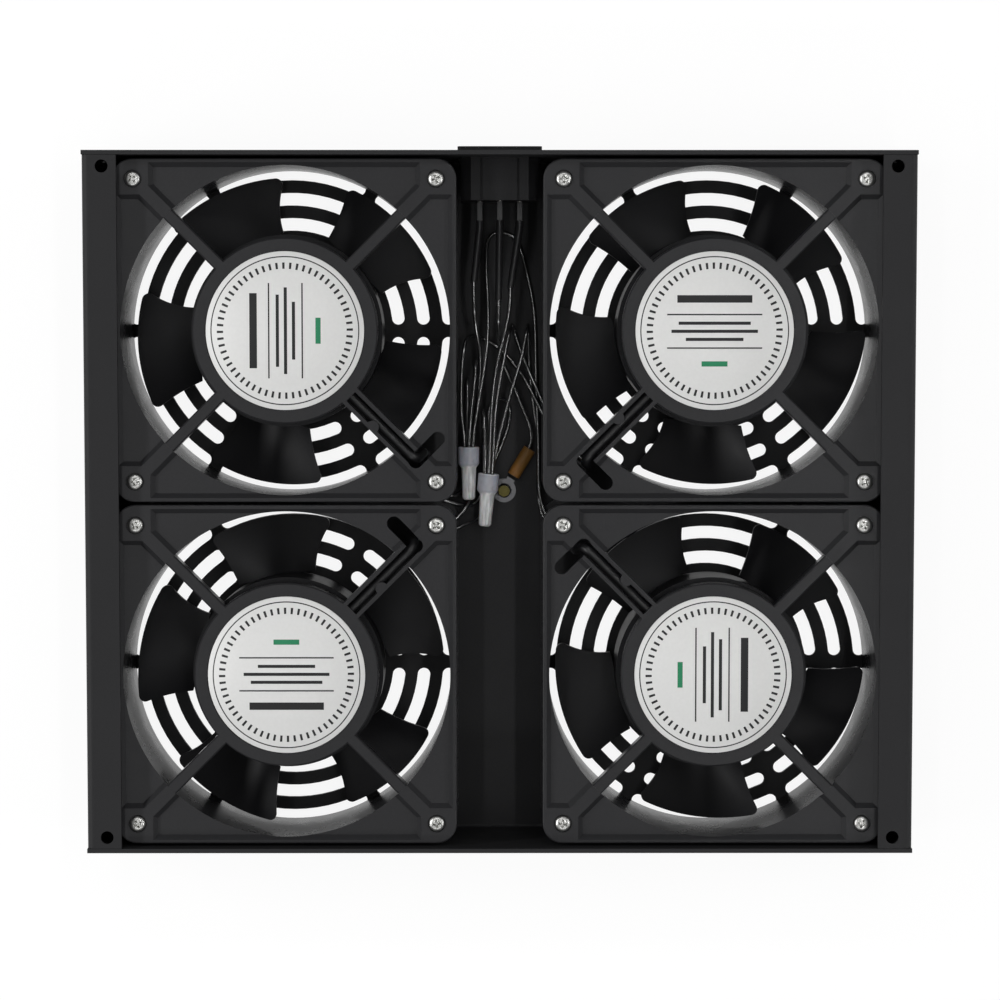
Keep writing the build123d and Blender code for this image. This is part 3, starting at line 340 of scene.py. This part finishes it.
class StageSettings(bpy.types.PropertyGroup):
    """Camera, lamps and floor."""

    lens_mm: FloatProperty(name="Lens", description="Focal length on a 36 mm sensor", default=97.38)
    camera_place: FloatVectorProperty(
        name="Camera place", description="Where the camera stands", subtype="TRANSLATION",
        default=(-1.9 * MM, 59.7 * MM, 978.8 * MM)
    )
    camera_tilt: FloatProperty(
        name="Camera tilt", description="Turn about X from straight down", subtype="ANGLE",
        default=radians(-3.562)
    )
    camera_swing: FloatProperty(
        name="Camera swing", description="Turn about Y from straight down", subtype="ANGLE",
        default=radians(-0.12)
    )
    left_power: strength_property("Left lamp", "Power of the low strip lamp on the left", 10.0)
    right_power: strength_property("Right lamp", "Power of the low strip lamp on the right", 5.5)
    left_top_power: strength_property("Left top lamp", "Power of the high narrow lamp on the left", 1.6)
    right_top_power: strength_property("Right top lamp", "Power of the high narrow lamp on the right", 2.5)
    front_power: strength_property("Front lamp", "Power of the strip lamp over the inlet", 2.2)
    rear_power: strength_property("Rear lamp", "Power of the strip lamp behind", 2.2)
    sky: strength_property("Sky", "Strength of the even light from all sides", 0.14)
    floor_glow: strength_property("Floor glow", "White of the floor in its shadows", 0.9)


class Tone:
    """A shader socket that takes part in Python arithmetic."""

    def __init__(self, finish, socket):
        self.finish = finish
        self.socket = socket

    def _math(self, operation, first, second):
        return self.finish.node("ShaderNodeMath", {"operation": operation}, {0: first, 1: second})

    def __add__(self, other):
        return self._math("ADD", self, other)

    def __sub__(self, other):
        return self._math("SUBTRACT", self, other)

    def __rsub__(self, other):
        return self._math("SUBTRACT", other, self)

    def __mul__(self, other):
        return self._math("MULTIPLY", self, other)

    def __gt__(self, other):
        return self._math("GREATER_THAN", self, other)

    def __lt__(self, other):
        return self._math("LESS_THAN", self, other)

    def __abs__(self):
        return self.finish.node("ShaderNodeMath", {"operation": "ABSOLUTE"}, {0: self})

    __radd__ = __add__
    __rmul__ = __mul__


def socket_title(name):
    """Returns the title of a shader's socket for a keyword."""
    return name.replace("_", " ").title().replace("Ior", "IOR")


class Finish:
    """A material with one principled shader, whose nodes are added by calls."""

    def __init__(self, name, **constants):
        self.material = bpy.data.materials.new(name)
        self.material.use_nodes = True
        self.tree = self.material.node_tree
        self.shader = self.tree.nodes["Principled BSDF"]
        for socket_name, value in constants.items():
            self.shader.inputs[socket_title(socket_name)].default_value = value

    def join(self, value, socket):
        """Links a tone to a socket, or sets the socket to a plain value."""
        if isinstance(value, Tone):
            self.tree.links.new(value.socket, socket)
        else:
            socket.default_value = value

    def node(self, kind, settings=None, inputs=None, output=0):
        """Adds a node, its settings first and then its sockets, and returns one of its outputs."""
        node = self.tree.nodes.new(kind)
        for key, value in (settings or {}).items():
            setattr(node, key, value)
        for key, value in (inputs or {}).items():
            self.join(value, node.inputs[key])
        return Tone(self, node.outputs[output])

    def feed(self, **tones):
        """Links tones to the shader's sockets."""
        for socket_name, value in tones.items():
            self.join(value, self.shader.inputs[socket_title(socket_name)])

    def place(self):
        """Returns the object's own coordinates."""
        return self.node("ShaderNodeTexCoord", output="Object")

    def across_along(self):
        """Returns the object's own X and Y."""
        across = self.node("ShaderNodeSeparateXYZ", inputs={0: self.place()})
        return across, Tone(self, across.socket.node.outputs["Y"])

    def noise(self, scale, detail=3.0, stretch=None):
        """Returns noise from 0 to 1, with its scale in waves per metre."""
        where = self.place()
        if stretch:
            where = self.node("ShaderNodeMapping", inputs={"Vector": where, "Scale": stretch})
        return self.node("ShaderNodeTexNoise", inputs={"Vector": where, "Scale": scale, "Detail": detail})

    def blend(self, factor, first, second):
        """Returns a colour between two others."""
        return self.node("ShaderNodeMix", {"data_type": "RGBA"}, {0: factor, 6: first, 7: second}, output=2)

    def bump(self, height, depth_mm):
        """Feeds a height from 0 to 1, times a depth, to the shader's normal."""
        inputs = {"Height": height, "Distance": depth_mm * MM, "Strength": 1.0}
        self.feed(normal=self.node("ShaderNodeBump", inputs=inputs))


def opaque(colour, gain=1.0):
    """Returns a colour with alpha 1, with its brightness changed by a gain."""
    return (*(min(1.0, part * gain) for part in colour), 1.0)


def coated(slot, colour=None):
    """Returns the paint or plastic of a slot, with a fine grain, uneven sheen and dust on its upper sides."""
    coat = COATS[slot]
    colour = slot_colour(slot) if colour is None else colour
    finish = Finish(slot, specular_ior_level=coat.shine, coat_weight=coat.clear,
                    coat_roughness=CLEAR_COAT_ROUGHNESS, coat_ior=CLEAR_COAT_IOR)
    fine = finish.noise(coat.grain)
    broad = finish.noise(DUST_WAVES, DUST_DETAIL)
    normal = finish.node("ShaderNodeNewGeometry", output="Normal")
    upward = finish.node("ShaderNodeSeparateXYZ", inputs={0: normal}, output="Z")
    clamped = {"operation": "MULTIPLY", "use_clamp": True}
    settled = finish.node("ShaderNodeMath", clamped, {0: upward, 1: broad})
    wall = abs(upward) < WALL_SLOPE
    worn = finish.blend(fine, *(opaque(colour, gain) for gain in WORN_GAINS))
    sheen = SHEEN_SPREAD * (finish.noise(SHEEN_WAVES) - 0.5) + GRAIN_SPREAD * fine
    finish.feed(
        base_color=finish.blend(settled * coat.dust, worn, opaque(colour, DUST_GAIN)),
        roughness=coat.roughness + sheen - coat.wall_gloss * wall,
    )
    finish.bump(fine, coat.depth_mm)
    return finish.material


def turned_metal(slot, colour=None):
    """Returns the bare metal of a slot, with fine tool marks."""
    metal = METALS[slot]
    colour = slot_colour(slot) if colour is None else colour
    finish = Finish(slot, metallic=1.0)
    marks = finish.noise(metal.marks, stretch=metal.stretch)
    finish.feed(
        base_color=finish.blend(marks, *(opaque(colour, gain) for gain in MARK_GAINS)),
        roughness=metal.roughness + MARK_SPREAD * (marks - MARK_MIDDLE),
    )
    finish.bump(marks, MARK_DEPTH_MM)
    return finish.material


def label_finish(colour):
    """Returns matt silver foil with a plain printed scale, a few plain bars and one green bar."""
    pattern = PATTERNS["label_foil"]
    finish = Finish("label_foil", metallic=0.12, specular_ior_level=0.35)
    across, along = finish.across_along()
    radius = finish.node("ShaderNodeMath", {"operation": "SQRT"}, {0: across * across + along * along})
    turn = finish.node("ShaderNodeMath", {"operation": "ARCTAN2"}, {0: along, 1: across})
    count = turn * (LABEL_TICKS / (2 * pi)) + LABEL_TICKS
    tick = finish.node("ShaderNodeMath", {"operation": "FRACT"}, {0: count})

    def between(value, limits_mm):
        return (value > limits_mm[0] * MM) * (value < limits_mm[1] * MM)

    def bar(height_mm, half_width_mm, thickness_mm):
        limits_mm = (height_mm - thickness_mm / 2, height_mm + thickness_mm / 2)
        return between(along, limits_mm) * (abs(across) < half_width_mm * MM)

    marks = (tick < LABEL_TICK_SHARE) * between(radius, LABEL_SCALE_MM) + between(radius, LABEL_BORDER_MM)
    for sizes_mm in LABEL_BARS_MM:
        marks = marks + bar(*sizes_mm)
    grain = finish.noise(FOIL_GRAIN_WAVES, FOIL_GRAIN_DETAIL)
    foil = finish.blend(grain, *(opaque(colour, gain) for gain in FOIL_GAINS))
    inked = finish.blend(marks, foil, BLACK_INK)
    finish.feed(
        base_color=finish.blend(bar(*LABEL_GREEN_BAR_MM), inked, GREEN_INK),
        roughness=pattern.roughness + pattern.spread * grain,
    )
    finish.bump(grain, pattern.depth_mm)
    return finish.material


def cap_finish(colour):
    """Returns milky nylon, grey where wires show through its skirt, and over the barrel pale, brightened by
    painted light and striped lengthwise with painted reflection.
    """
    pattern = PATTERNS["cap_nylon"]
    finish = Finish("cap_nylon", subsurface_weight=0.1, subsurface_scale=0.001, specular_ior_level=0.5)
    along = finish.node("ShaderNodeSeparateXYZ", inputs={0: finish.place()}, output="Z")
    shoulder = {"From Min": CAP_SHOULDER_MM[0] * MM, "From Max": CAP_SHOULDER_MM[1] * MM}
    tip = finish.node("ShaderNodeMapRange", {"interpolation_type": "SMOOTHSTEP"},
                      {"Value": along, **shoulder})
    rim = along < CAP_RIM_MM * MM
    cloud = finish.noise(CAP_CLOUD_WAVES)
    reflection_streak = finish.noise(CAP_REFLECTION_STREAK_WAVES, stretch=CAP_REFLECTION_STREAK_STRETCH)
    skirt = finish.blend(cloud, *(opaque(shade) for shade in CAP_SKIRT_COLOURS))
    # Lengthwise light and dark stripes over the barrel are painted reflection, and the brighter gain adds
    # painted light
    painted_reflections = (reflection_streak - CAP_REFLECTION_STREAK_FLOOR) * CAP_REFLECTION_STREAK_CONTRAST
    shell = finish.blend(painted_reflections, *(opaque(colour, gain) for gain in CAP_REFLECTION_STREAK_GAINS))
    finish.feed(
        base_color=finish.blend(rim, finish.blend(tip, skirt, shell), opaque(CAP_RIM_COLOUR)),
        roughness=pattern.roughness + pattern.spread * cloud,
    )
    finish.bump(reflection_streak, pattern.depth_mm)
    return finish.material


def sleeve_finish(colour):
    """Returns orange-brown vinyl with darker and olive patches."""
    pattern = PATTERNS["lug_sleeve_vinyl"]
    finish = Finish("lug_sleeve_vinyl", specular_ior_level=0.35)
    patches = finish.noise(SLEEVE_PATCH_WAVES)
    olive = tuple(part * share for part, share in zip(colour, SLEEVE_OLIVE_SHARES))
    finish.feed(
        base_color=finish.blend(patches, opaque(olive), opaque(colour, SLEEVE_GAIN)),
        roughness=pattern.roughness + pattern.spread * patches,
    )
    finish.bump(finish.noise(SLEEVE_GRAIN_WAVES, SLEEVE_GRAIN_DETAIL), pattern.depth_mm)
    return finish.material


def winding_finish(colour):
    """Returns enamelled copper wire, laid in close turns, with painted shade in the grooves between turns and
    painted highlight on their crests.
    """
    pattern = PATTERNS["winding_copper"]
    finish = Finish("winding_copper", metallic=0.9, coat_weight=0.4)
    waves = {"Scale": WINDING_WAVES, "Distortion": WINDING_DISTORTION, "Detail": WINDING_DETAIL}
    turns = finish.node("ShaderNodeTexWave", {"bands_direction": "Z"}, {"Vector": finish.place(), **waves})
    finish.feed(
        # Darker in the grooves between turns and lighter on their crests: painted shade and highlight
        base_color=finish.blend(turns, *(opaque(colour, gain) for gain in WINDING_SHADE_GAINS)),
        roughness=pattern.roughness + pattern.spread * turns,
    )
    finish.bump(turns, pattern.depth_mm)
    return finish.material


def dress(nodes, material):
    """Gives one material to some of the frame's nodes."""
    for name in nodes:
        slots = frame["nodes"][name].material_slots
        for slot in slots:
            slot.material = material


def each_fan(piece):
    """Returns a piece's node name on each fan."""
    return [f"{fan}_{piece}" for fan in FANS]


def node_centre(name):
    """Returns the middle of a node's box."""
    low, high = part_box(name)
    return (Vector(low) + Vector(high)) / 2


def add_piece(name, mesh, material, node, matrix=None):
    """Adds a mesh as a piece that stands for one of the frame's nodes."""
    mesh.materials.append(material)
    piece = bpy.data.objects.new(name, mesh)
    if matrix is not None:
        piece.matrix_world = matrix
    bpy.context.scene.collection.objects.link(piece)
    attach(piece, ROOT)
    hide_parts(node)
    return piece


def lathe(profile_mm, segments, shape=None):
    """Returns a closed mesh turned about Z, from a profile of radius and height with its ends on the axis."""
    work = bmesh.new()
    rings = []
    for radius, height in profile_mm:
        if radius == 0:
            rings.append([work.verts.new((0, 0, height * MM))])
            continue
        ring = []
        for step in range(segments):
            angle = 2 * pi * step / segments
            reach = radius * (shape(angle, height, radius) if shape else 1.0)
            ring.append(work.verts.new((reach * cos(angle) * MM, reach * sin(angle) * MM, height * MM)))
        rings.append(ring)
    for below, above in zip(rings, rings[1:]):
        for step in range(segments):
            after = (step + 1) % segments
            corners = [below[step % len(below)], below[after % len(below)],
                       above[after % len(above)], above[step % len(above)]]
            work.faces.new(list(dict.fromkeys(corners)))
    bmesh.ops.recalc_face_normals(work, faces=work.faces)
    mesh = bpy.data.meshes.new("turned")
    work.to_mesh(mesh)
    work.free()
    mesh.shade_smooth()
    return mesh


class FANTRAY_OT_camera(bpy.types.Operator):
    """Adds the camera at the photograph's viewing angle"""

    bl_idname = "fantray.camera"
    bl_label = "Camera"

    def execute(self, context):
        stage = context.scene.fantray_stage
        data = bpy.data.cameras.new("camera")
        data.lens = stage.lens_mm
        data.sensor_fit = "HORIZONTAL"
        data.sensor_width = SENSOR_WIDTH_MM
        camera = bpy.data.objects.new("camera", data)
        camera.location = stage.camera_place
        camera.rotation_euler = (stage.camera_tilt, stage.camera_swing, 0.0)
        context.scene.collection.objects.link(camera)
        context.scene.camera = camera
        return {"FINISHED"}


class FANTRAY_OT_wires(bpy.types.Operator):
    """Lays the fan leads and the supply wires"""

    bl_idname = "fantray.wires"
    bl_label = "Wires"

    def execute(self, context):
        settings = context.scene.fantray_finish
        vinyl = coated("wire_vinyl", settings.wire)
        for name, route in WIRE_ROUTES_MM.items():
            curve = bpy.data.curves.new(name, "CURVE")
            curve.dimensions = "3D"
            curve.bevel_depth = settings.wire_diameter / 2
            curve.bevel_resolution = WIRE_BEVEL_STEPS
            curve.resolution_u = WIRE_CURVE_STEPS
            curve.use_fill_caps = True
            spline = curve.splines.new("NURBS")
            spline.points.add(len(route) - 1)
            for point, place in zip(spline.points, route):
                point.co = (*(part * MM for part in place), 1.0)
            spline.order_u = WIRE_CURVE_ORDER
            spline.use_endpoint_u = True
            curve.materials.append(vinyl)
            wire = bpy.data.objects.new(f"wire_{name}", curve)
            context.scene.collection.objects.link(wire)
            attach(wire, ROOT)
            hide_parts(name)
        return {"FINISHED"}


class FANTRAY_OT_tray(bpy.types.Operator):
    """Coats the folded tray"""

    bl_idname = "fantray.tray"
    bl_label = "Tray"

    def execute(self, context):
        dress(["tray_shell"], coated("tray_paint", context.scene.fantray_finish.tray))
        return {"FINISHED"}


class FANTRAY_OT_fans(bpy.types.Operator):
    """Finishes the fan frames, impellers and motors"""

    bl_idname = "fantray.fans"
    bl_label = "Fans"

    def execute(self, context):
        settings = context.scene.fantray_finish
        dress(each_fan("frame"), coated("fan_frame_paint", settings.fan_frame))
        dress(each_fan("impeller"), coated("impeller_plastic", settings.impeller))
        dress(each_fan("lead_sleeve"), coated("lead_sleeve_vinyl"))
        dress(each_fan("stator_core"), turned_metal("stator_steel"))
        dress(each_fan("windings"), winding_finish(slot_colour("winding_copper")))
        dress(each_fan("bushes"), turned_metal("bush_bronze"))
        dress(each_fan("rotor_ring"), turned_metal("rotor_steel"))
        dress(each_fan("shaft"), turned_metal("shaft_steel"))
        return {"FINISHED"}


class FANTRAY_OT_labels(bpy.types.Operator):
    """Adds the foil labels on the fan hubs"""

    bl_idname = "fantray.labels"
    bl_label = "Labels"

    def execute(self, context):
        foil = label_finish(context.scene.fantray_finish.label)
        for fan, turn in LABEL_TURNS.items():
            low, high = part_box(f"{fan}_label")
            radius = (high[0] - low[0]) / 2 / MM
            thickness = (high[2] - low[2]) / MM
            edge = thickness / 3
            disc = lathe([(0, 0), (radius - edge, 0), (radius, edge), (radius, thickness - edge),
                          (radius - edge, thickness), (0, thickness)], LABEL_SEGMENTS)
            middle = node_centre(f"{fan}_label")
            place = Matrix.Translation((middle.x, middle.y, low[2])) @ Matrix.Rotation(radians(turn), 4, "Z")
            add_piece(f"{fan}_hub_label", disc, foil, f"{fan}_label", place)
        return {"FINISHED"}


def screw_mesh(length_mm):
    """Returns a pan-head screw with a cross recess, its seat at height 0."""
    point_width, point_height = SCREW_POINT_MM
    shank = [(0, -length_mm), (SCREW_SHANK_MM - point_width, -length_mm),
             (SCREW_SHANK_MM, point_height - length_mm), (SCREW_SHANK_MM, 0)]
    head = bpy.data.objects.new("screw_head", lathe(shank + list(SCREW_HEAD_MM), SCREW_SEGMENTS))
    work = bmesh.new()
    quarters = ((-1, -1), (1, -1), (1, 1), (-1, 1))
    for turn in (0, pi / 2):
        spin = Matrix.Rotation(turn, 4, "Z") @ Matrix.Scale(MM, 4)
        upper, lower = (
            [work.verts.new(spin @ Vector((side * reach, end * breadth, height))) for side, end in quarters]
            for reach, breadth, height in (CROSS_TOP_MM, CROSS_BOTTOM_MM)
        )
        work.faces.new(upper)
        work.faces.new(lower[::-1])
        for step in range(4):
            work.faces.new([lower[step], lower[(step + 1) % 4], upper[(step + 1) % 4], upper[step]])
    bmesh.ops.recalc_face_normals(work, faces=work.faces)
    cross = bpy.data.meshes.new("cross")
    work.to_mesh(cross)
    work.free()
    cutter = bpy.data.objects.new("cross", cross)
    for helper in (head, cutter):
        bpy.context.scene.collection.objects.link(helper)
    cut = head.modifiers.new("recess", "BOOLEAN")
    cut.operation = "DIFFERENCE"
    cut.object = cutter
    cut.use_self = True
    mesh = bpy.data.meshes.new_from_object(head.evaluated_get(bpy.context.evaluated_depsgraph_get()))
    for helper in (head, cutter):
        bpy.data.objects.remove(helper)
    return mesh


class FANTRAY_OT_screws(bpy.types.Operator):
    """Adds the cross-head screws that hold the fans"""

    bl_idname = "fantray.screws"
    bl_label = "Screws"

    def execute(self, context):
        settings = context.scene.fantray_finish
        low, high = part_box("fan_screws")
        seat = high[2] - SCREW_HEAD_MM[-1][1] * MM
        single = screw_mesh((seat - low[2]) / MM)
        work = bmesh.new()
        reach = SCREW_REACH_MM * MM
        places = []
        for fan in FANS:
            middle = node_centre(f"{fan}_frame")
            for side in (-1, 1):
                for end in (-1, 1):
                    places.append(Vector((middle.x + side * reach, middle.y + end * reach, seat)))
        for count, place in enumerate(places):
            start = len(work.verts)
            work.from_mesh(single)
            work.verts.ensure_lookup_table()
            turn = Matrix.Translation(place) @ Matrix.Rotation(count * settings.screw_turn, 4, "Z")
            bmesh.ops.transform(work, matrix=turn, verts=work.verts[start:])
        mesh = bpy.data.meshes.new("screws")
        work.to_mesh(mesh)
        work.free()
        mesh.set_sharp_from_angle(angle=SCREW_SHARP_ANGLE)
        plating = turned_metal("screw_steel", settings.screw)
        add_piece("cross_head_screws", mesh, plating, "fan_screws")
        return {"FINISHED"}


class FANTRAY_OT_inlet(bpy.types.Operator):
    """Finishes the mains inlet and its sleeved terminals"""

    bl_idname = "fantray.inlet"
    bl_label = "Inlet"

    def execute(self, context):
        dress(["inlet_body"], coated("inlet_plastic", slot_colour("inlet_plastic", INLET_GAIN)))
        dress(["inlet_contacts"], turned_metal("contact_nickel"))
        dress(["terminal_sleeves"], coated("terminal_vinyl"))
        return {"FINISHED"}


def crimped(angle, height, radius):
    """Returns how far a crimp cap's outside is pressed in at an angle and a height."""
    if radius <= CAP_INSIDE_MM[-2][0] or height <= CAP_SKIRT_MM[0][1]:
        return 1.0
    press = exp(-((height - CRIMP_HEIGHT_MM) / CRIMP_LENGTH_MM) ** 2)
    return 1.0 - CRIMP_SHARE * press * max(0.0, cos(2 * angle)) ** 2


class FANTRAY_OT_caps(bpy.types.Operator):
    """Adds the crimp caps that close the wire ends"""

    bl_idname = "fantray.caps"
    bl_label = "Crimp caps"

    def execute(self, context):
        nylon = cap_finish(context.scene.fantray_finish.cap)
        neck_top, neck_bottom = CAP_NECK_HEIGHTS_MM[0], CAP_NECK_HEIGHTS_MM[-1]
        narrow, wide = CAP_NECK_RADII_MM
        neck = [(narrow + (wide - narrow) * (neck_top - height) / (neck_top - neck_bottom), height)
                for height in CAP_NECK_HEIGHTS_MM]
        profile = [*CAP_TIP_MM, *neck, *CAP_SKIRT_MM, *CAP_INSIDE_MM]
        for name, (across, along, angle) in CAP_MOUTHS_MM.items():
            mouth = Vector((across, along, CAP_HEIGHT_MM)) * MM
            turn = Matrix.Rotation(radians(angle), 4, "Z") @ Matrix.Rotation(pi / 2, 4, "Y")
            shell = lathe(profile, CAP_SEGMENTS, crimped)
            add_piece(f"{name}_shell", shell, nylon, name, Matrix.Translation(mouth) @ turn)
        dress([f"{name}_barrel" for name in CAP_MOUTHS_MM], turned_metal("cap_barrel_tin"))
        return {"FINISHED"}


class FANTRAY_OT_earth(bpy.types.Operator):
    """Finishes the earth stud, its ring lug and the lug's sleeve"""

    bl_idname = "fantray.earth"
    bl_label = "Earth lug"

    def execute(self, context):
        # Stud and lug colours are darkened by a gain, a painted shade
        for node, slot in (("earth_stud", "stud_steel"), ("earth_lug", "lug_tin")):
            dress([node], turned_metal(slot, slot_colour(slot, EARTH_SHADE_GAIN)))
        dress(["earth_lug_sleeve"], sleeve_finish(context.scene.fantray_finish.lug_sleeve))
        return {"FINISHED"}


def add_strip(name, power, place, turn, width):
    """Adds a long narrow area lamp that points at the object, along Y or turned about its own axis."""
    data = bpy.data.lights.new(name, "AREA")
    data.energy = power
    data.shape = "RECTANGLE"
    data.size = width
    data.size_y = LAMP_LENGTH
    lamp = bpy.data.objects.new(name, data)
    facing = Vector((0, 0, -1)).rotation_difference(-Vector(place)).to_matrix().to_4x4()
    lamp.matrix_world = Matrix.Translation(place) @ facing @ Matrix.Rotation(turn, 4, "Z")
    bpy.context.scene.collection.objects.link(lamp)


def painted_rim_shadow(paper):
    """Returns 1 in a narrow band of the floor under the tray's rim, where no light comes and the floor's glow
    is taken out as painted shadow, and 0 elsewhere.
    """
    low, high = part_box("tray_shell")
    across, along = paper.across_along()
    inside, core = 1.0, 1.0
    for value, half in ((across, (high[0] - low[0]) / 2), (along, (high[1] - low[1]) / 2)):
        inside = (abs(value) < half) * inside
        core = (abs(value) < half - PAINTED_SHADOW_WIDTH) * core
    return inside - core


def floor_paper(glow_strength):
    """Returns matt paper that is seen as white with faint shadows, and with a painted shadow, a dark band
    without glow, under the tray's rim.
    """
    paper = Finish("floor_paper", base_color=FLOOR_COLOUR, roughness=0.9, specular_ior_level=0.1)
    seen = paper.node("ShaderNodeLightPath", output="Is Camera Ray")
    light_path = seen.socket.node
    for output in ("Is Glossy Ray", "Is Transmission Ray"):
        seen = seen + Tone(paper, light_path.outputs[output])
    faint = paper.node("ShaderNodeBsdfDiffuse", inputs={"Color": FLOOR_SHADOW_COLOUR})
    # The glow is taken out under the tray's rim: a painted shadow
    white = glow_strength * (1 - painted_rim_shadow(paper))
    glow = paper.node("ShaderNodeEmission", inputs={"Strength": white})
    lit = paper.node("ShaderNodeAddShader", inputs={0: glow, 1: faint})
    plain = Tone(paper, paper.shader.outputs[0])
    mixed = paper.node("ShaderNodeMixShader", inputs={0: seen, 1: plain, 2: lit})
    paper.join(mixed, paper.tree.nodes["Material Output"].inputs["Surface"])
    return paper.material


def add_floor(paper):
    """Adds a wide floor just under the tray, as part of the stage."""
    mesh = bpy.data.meshes.new("floor")
    work = bmesh.new()
    bmesh.ops.create_grid(work, x_segments=1, y_segments=1, size=FLOOR_REACH)
    work.to_mesh(mesh)
    work.free()
    mesh.materials.append(paper)
    floor = bpy.data.objects.new("floor", mesh)
    floor.location.z = -FLOOR_DROP
    bpy.context.scene.collection.objects.link(floor)


def add_sky(strength):
    """Adds even white light from all sides."""
    world = bpy.data.worlds.new("studio")
    world.use_nodes = True
    sky = world.node_tree.nodes["Background"]
    sky.inputs["Color"].default_value = (1.0, 1.0, 1.0, 1.0)
    sky.inputs["Strength"].default_value = strength
    bpy.context.scene.world = world


class FANTRAY_OT_stage(bpy.types.Operator):
    """Adds the pale floor, the lamps and the even surrounding light"""

    bl_idname = "fantray.stage"
    bl_label = "Stage"

    def execute(self, context):
        stage = context.scene.fantray_stage
        context.scene.view_settings.view_transform = "Standard"
        add_floor(floor_paper(stage.floor_glow))
        for side, (place, turn, width) in LAMPS.items():
            add_strip(f"{side}_lamp", getattr(stage, f"{side}_power"), place, turn, width)
        add_sky(stage.sky)
        return {"FINISHED"}


OPERATORS = (FANTRAY_OT_camera, FANTRAY_OT_wires, FANTRAY_OT_tray, FANTRAY_OT_fans, FANTRAY_OT_labels,
             FANTRAY_OT_screws, FANTRAY_OT_inlet, FANTRAY_OT_caps, FANTRAY_OT_earth, FANTRAY_OT_stage)


class FANTRAY_PT_sidebar(bpy.types.Panel):
    """Lists the pieces of the fan tray"""

    bl_label = "Fan tray"
    bl_idname = "FANTRAY_PT_sidebar"
    bl_space_type = "VIEW_3D"
    bl_region_type = "UI"
    bl_category = "Fan tray"

    def draw(self, context):
        for settings in (context.scene.fantray_finish, context.scene.fantray_stage):
            for name in settings.__annotations__:
                self.layout.prop(settings, name)
        for operator in OPERATORS:
            self.layout.operator(operator.bl_idname)


CLASSES = (FinishSettings, StageSettings, *OPERATORS, FANTRAY_PT_sidebar)


def register():
    """Registers the classes and their settings."""
    for each in CLASSES:
        bpy.utils.register_class(each)
    bpy.types.Scene.fantray_finish = PointerProperty(type=FinishSettings)
    bpy.types.Scene.fantray_stage = PointerProperty(type=StageSettings)


def unregister():
    """Takes back what register adds."""
    del bpy.types.Scene.fantray_finish
    del bpy.types.Scene.fantray_stage
    for each in reversed(CLASSES):
        bpy.utils.unregister_class(each)


def main():
    """Makes every piece."""
    register()
    for operator in OPERATORS:
        group, name = operator.bl_idname.split(".")
        getattr(getattr(bpy.ops, group), name)()


if __name__ == "__main__":
    main()
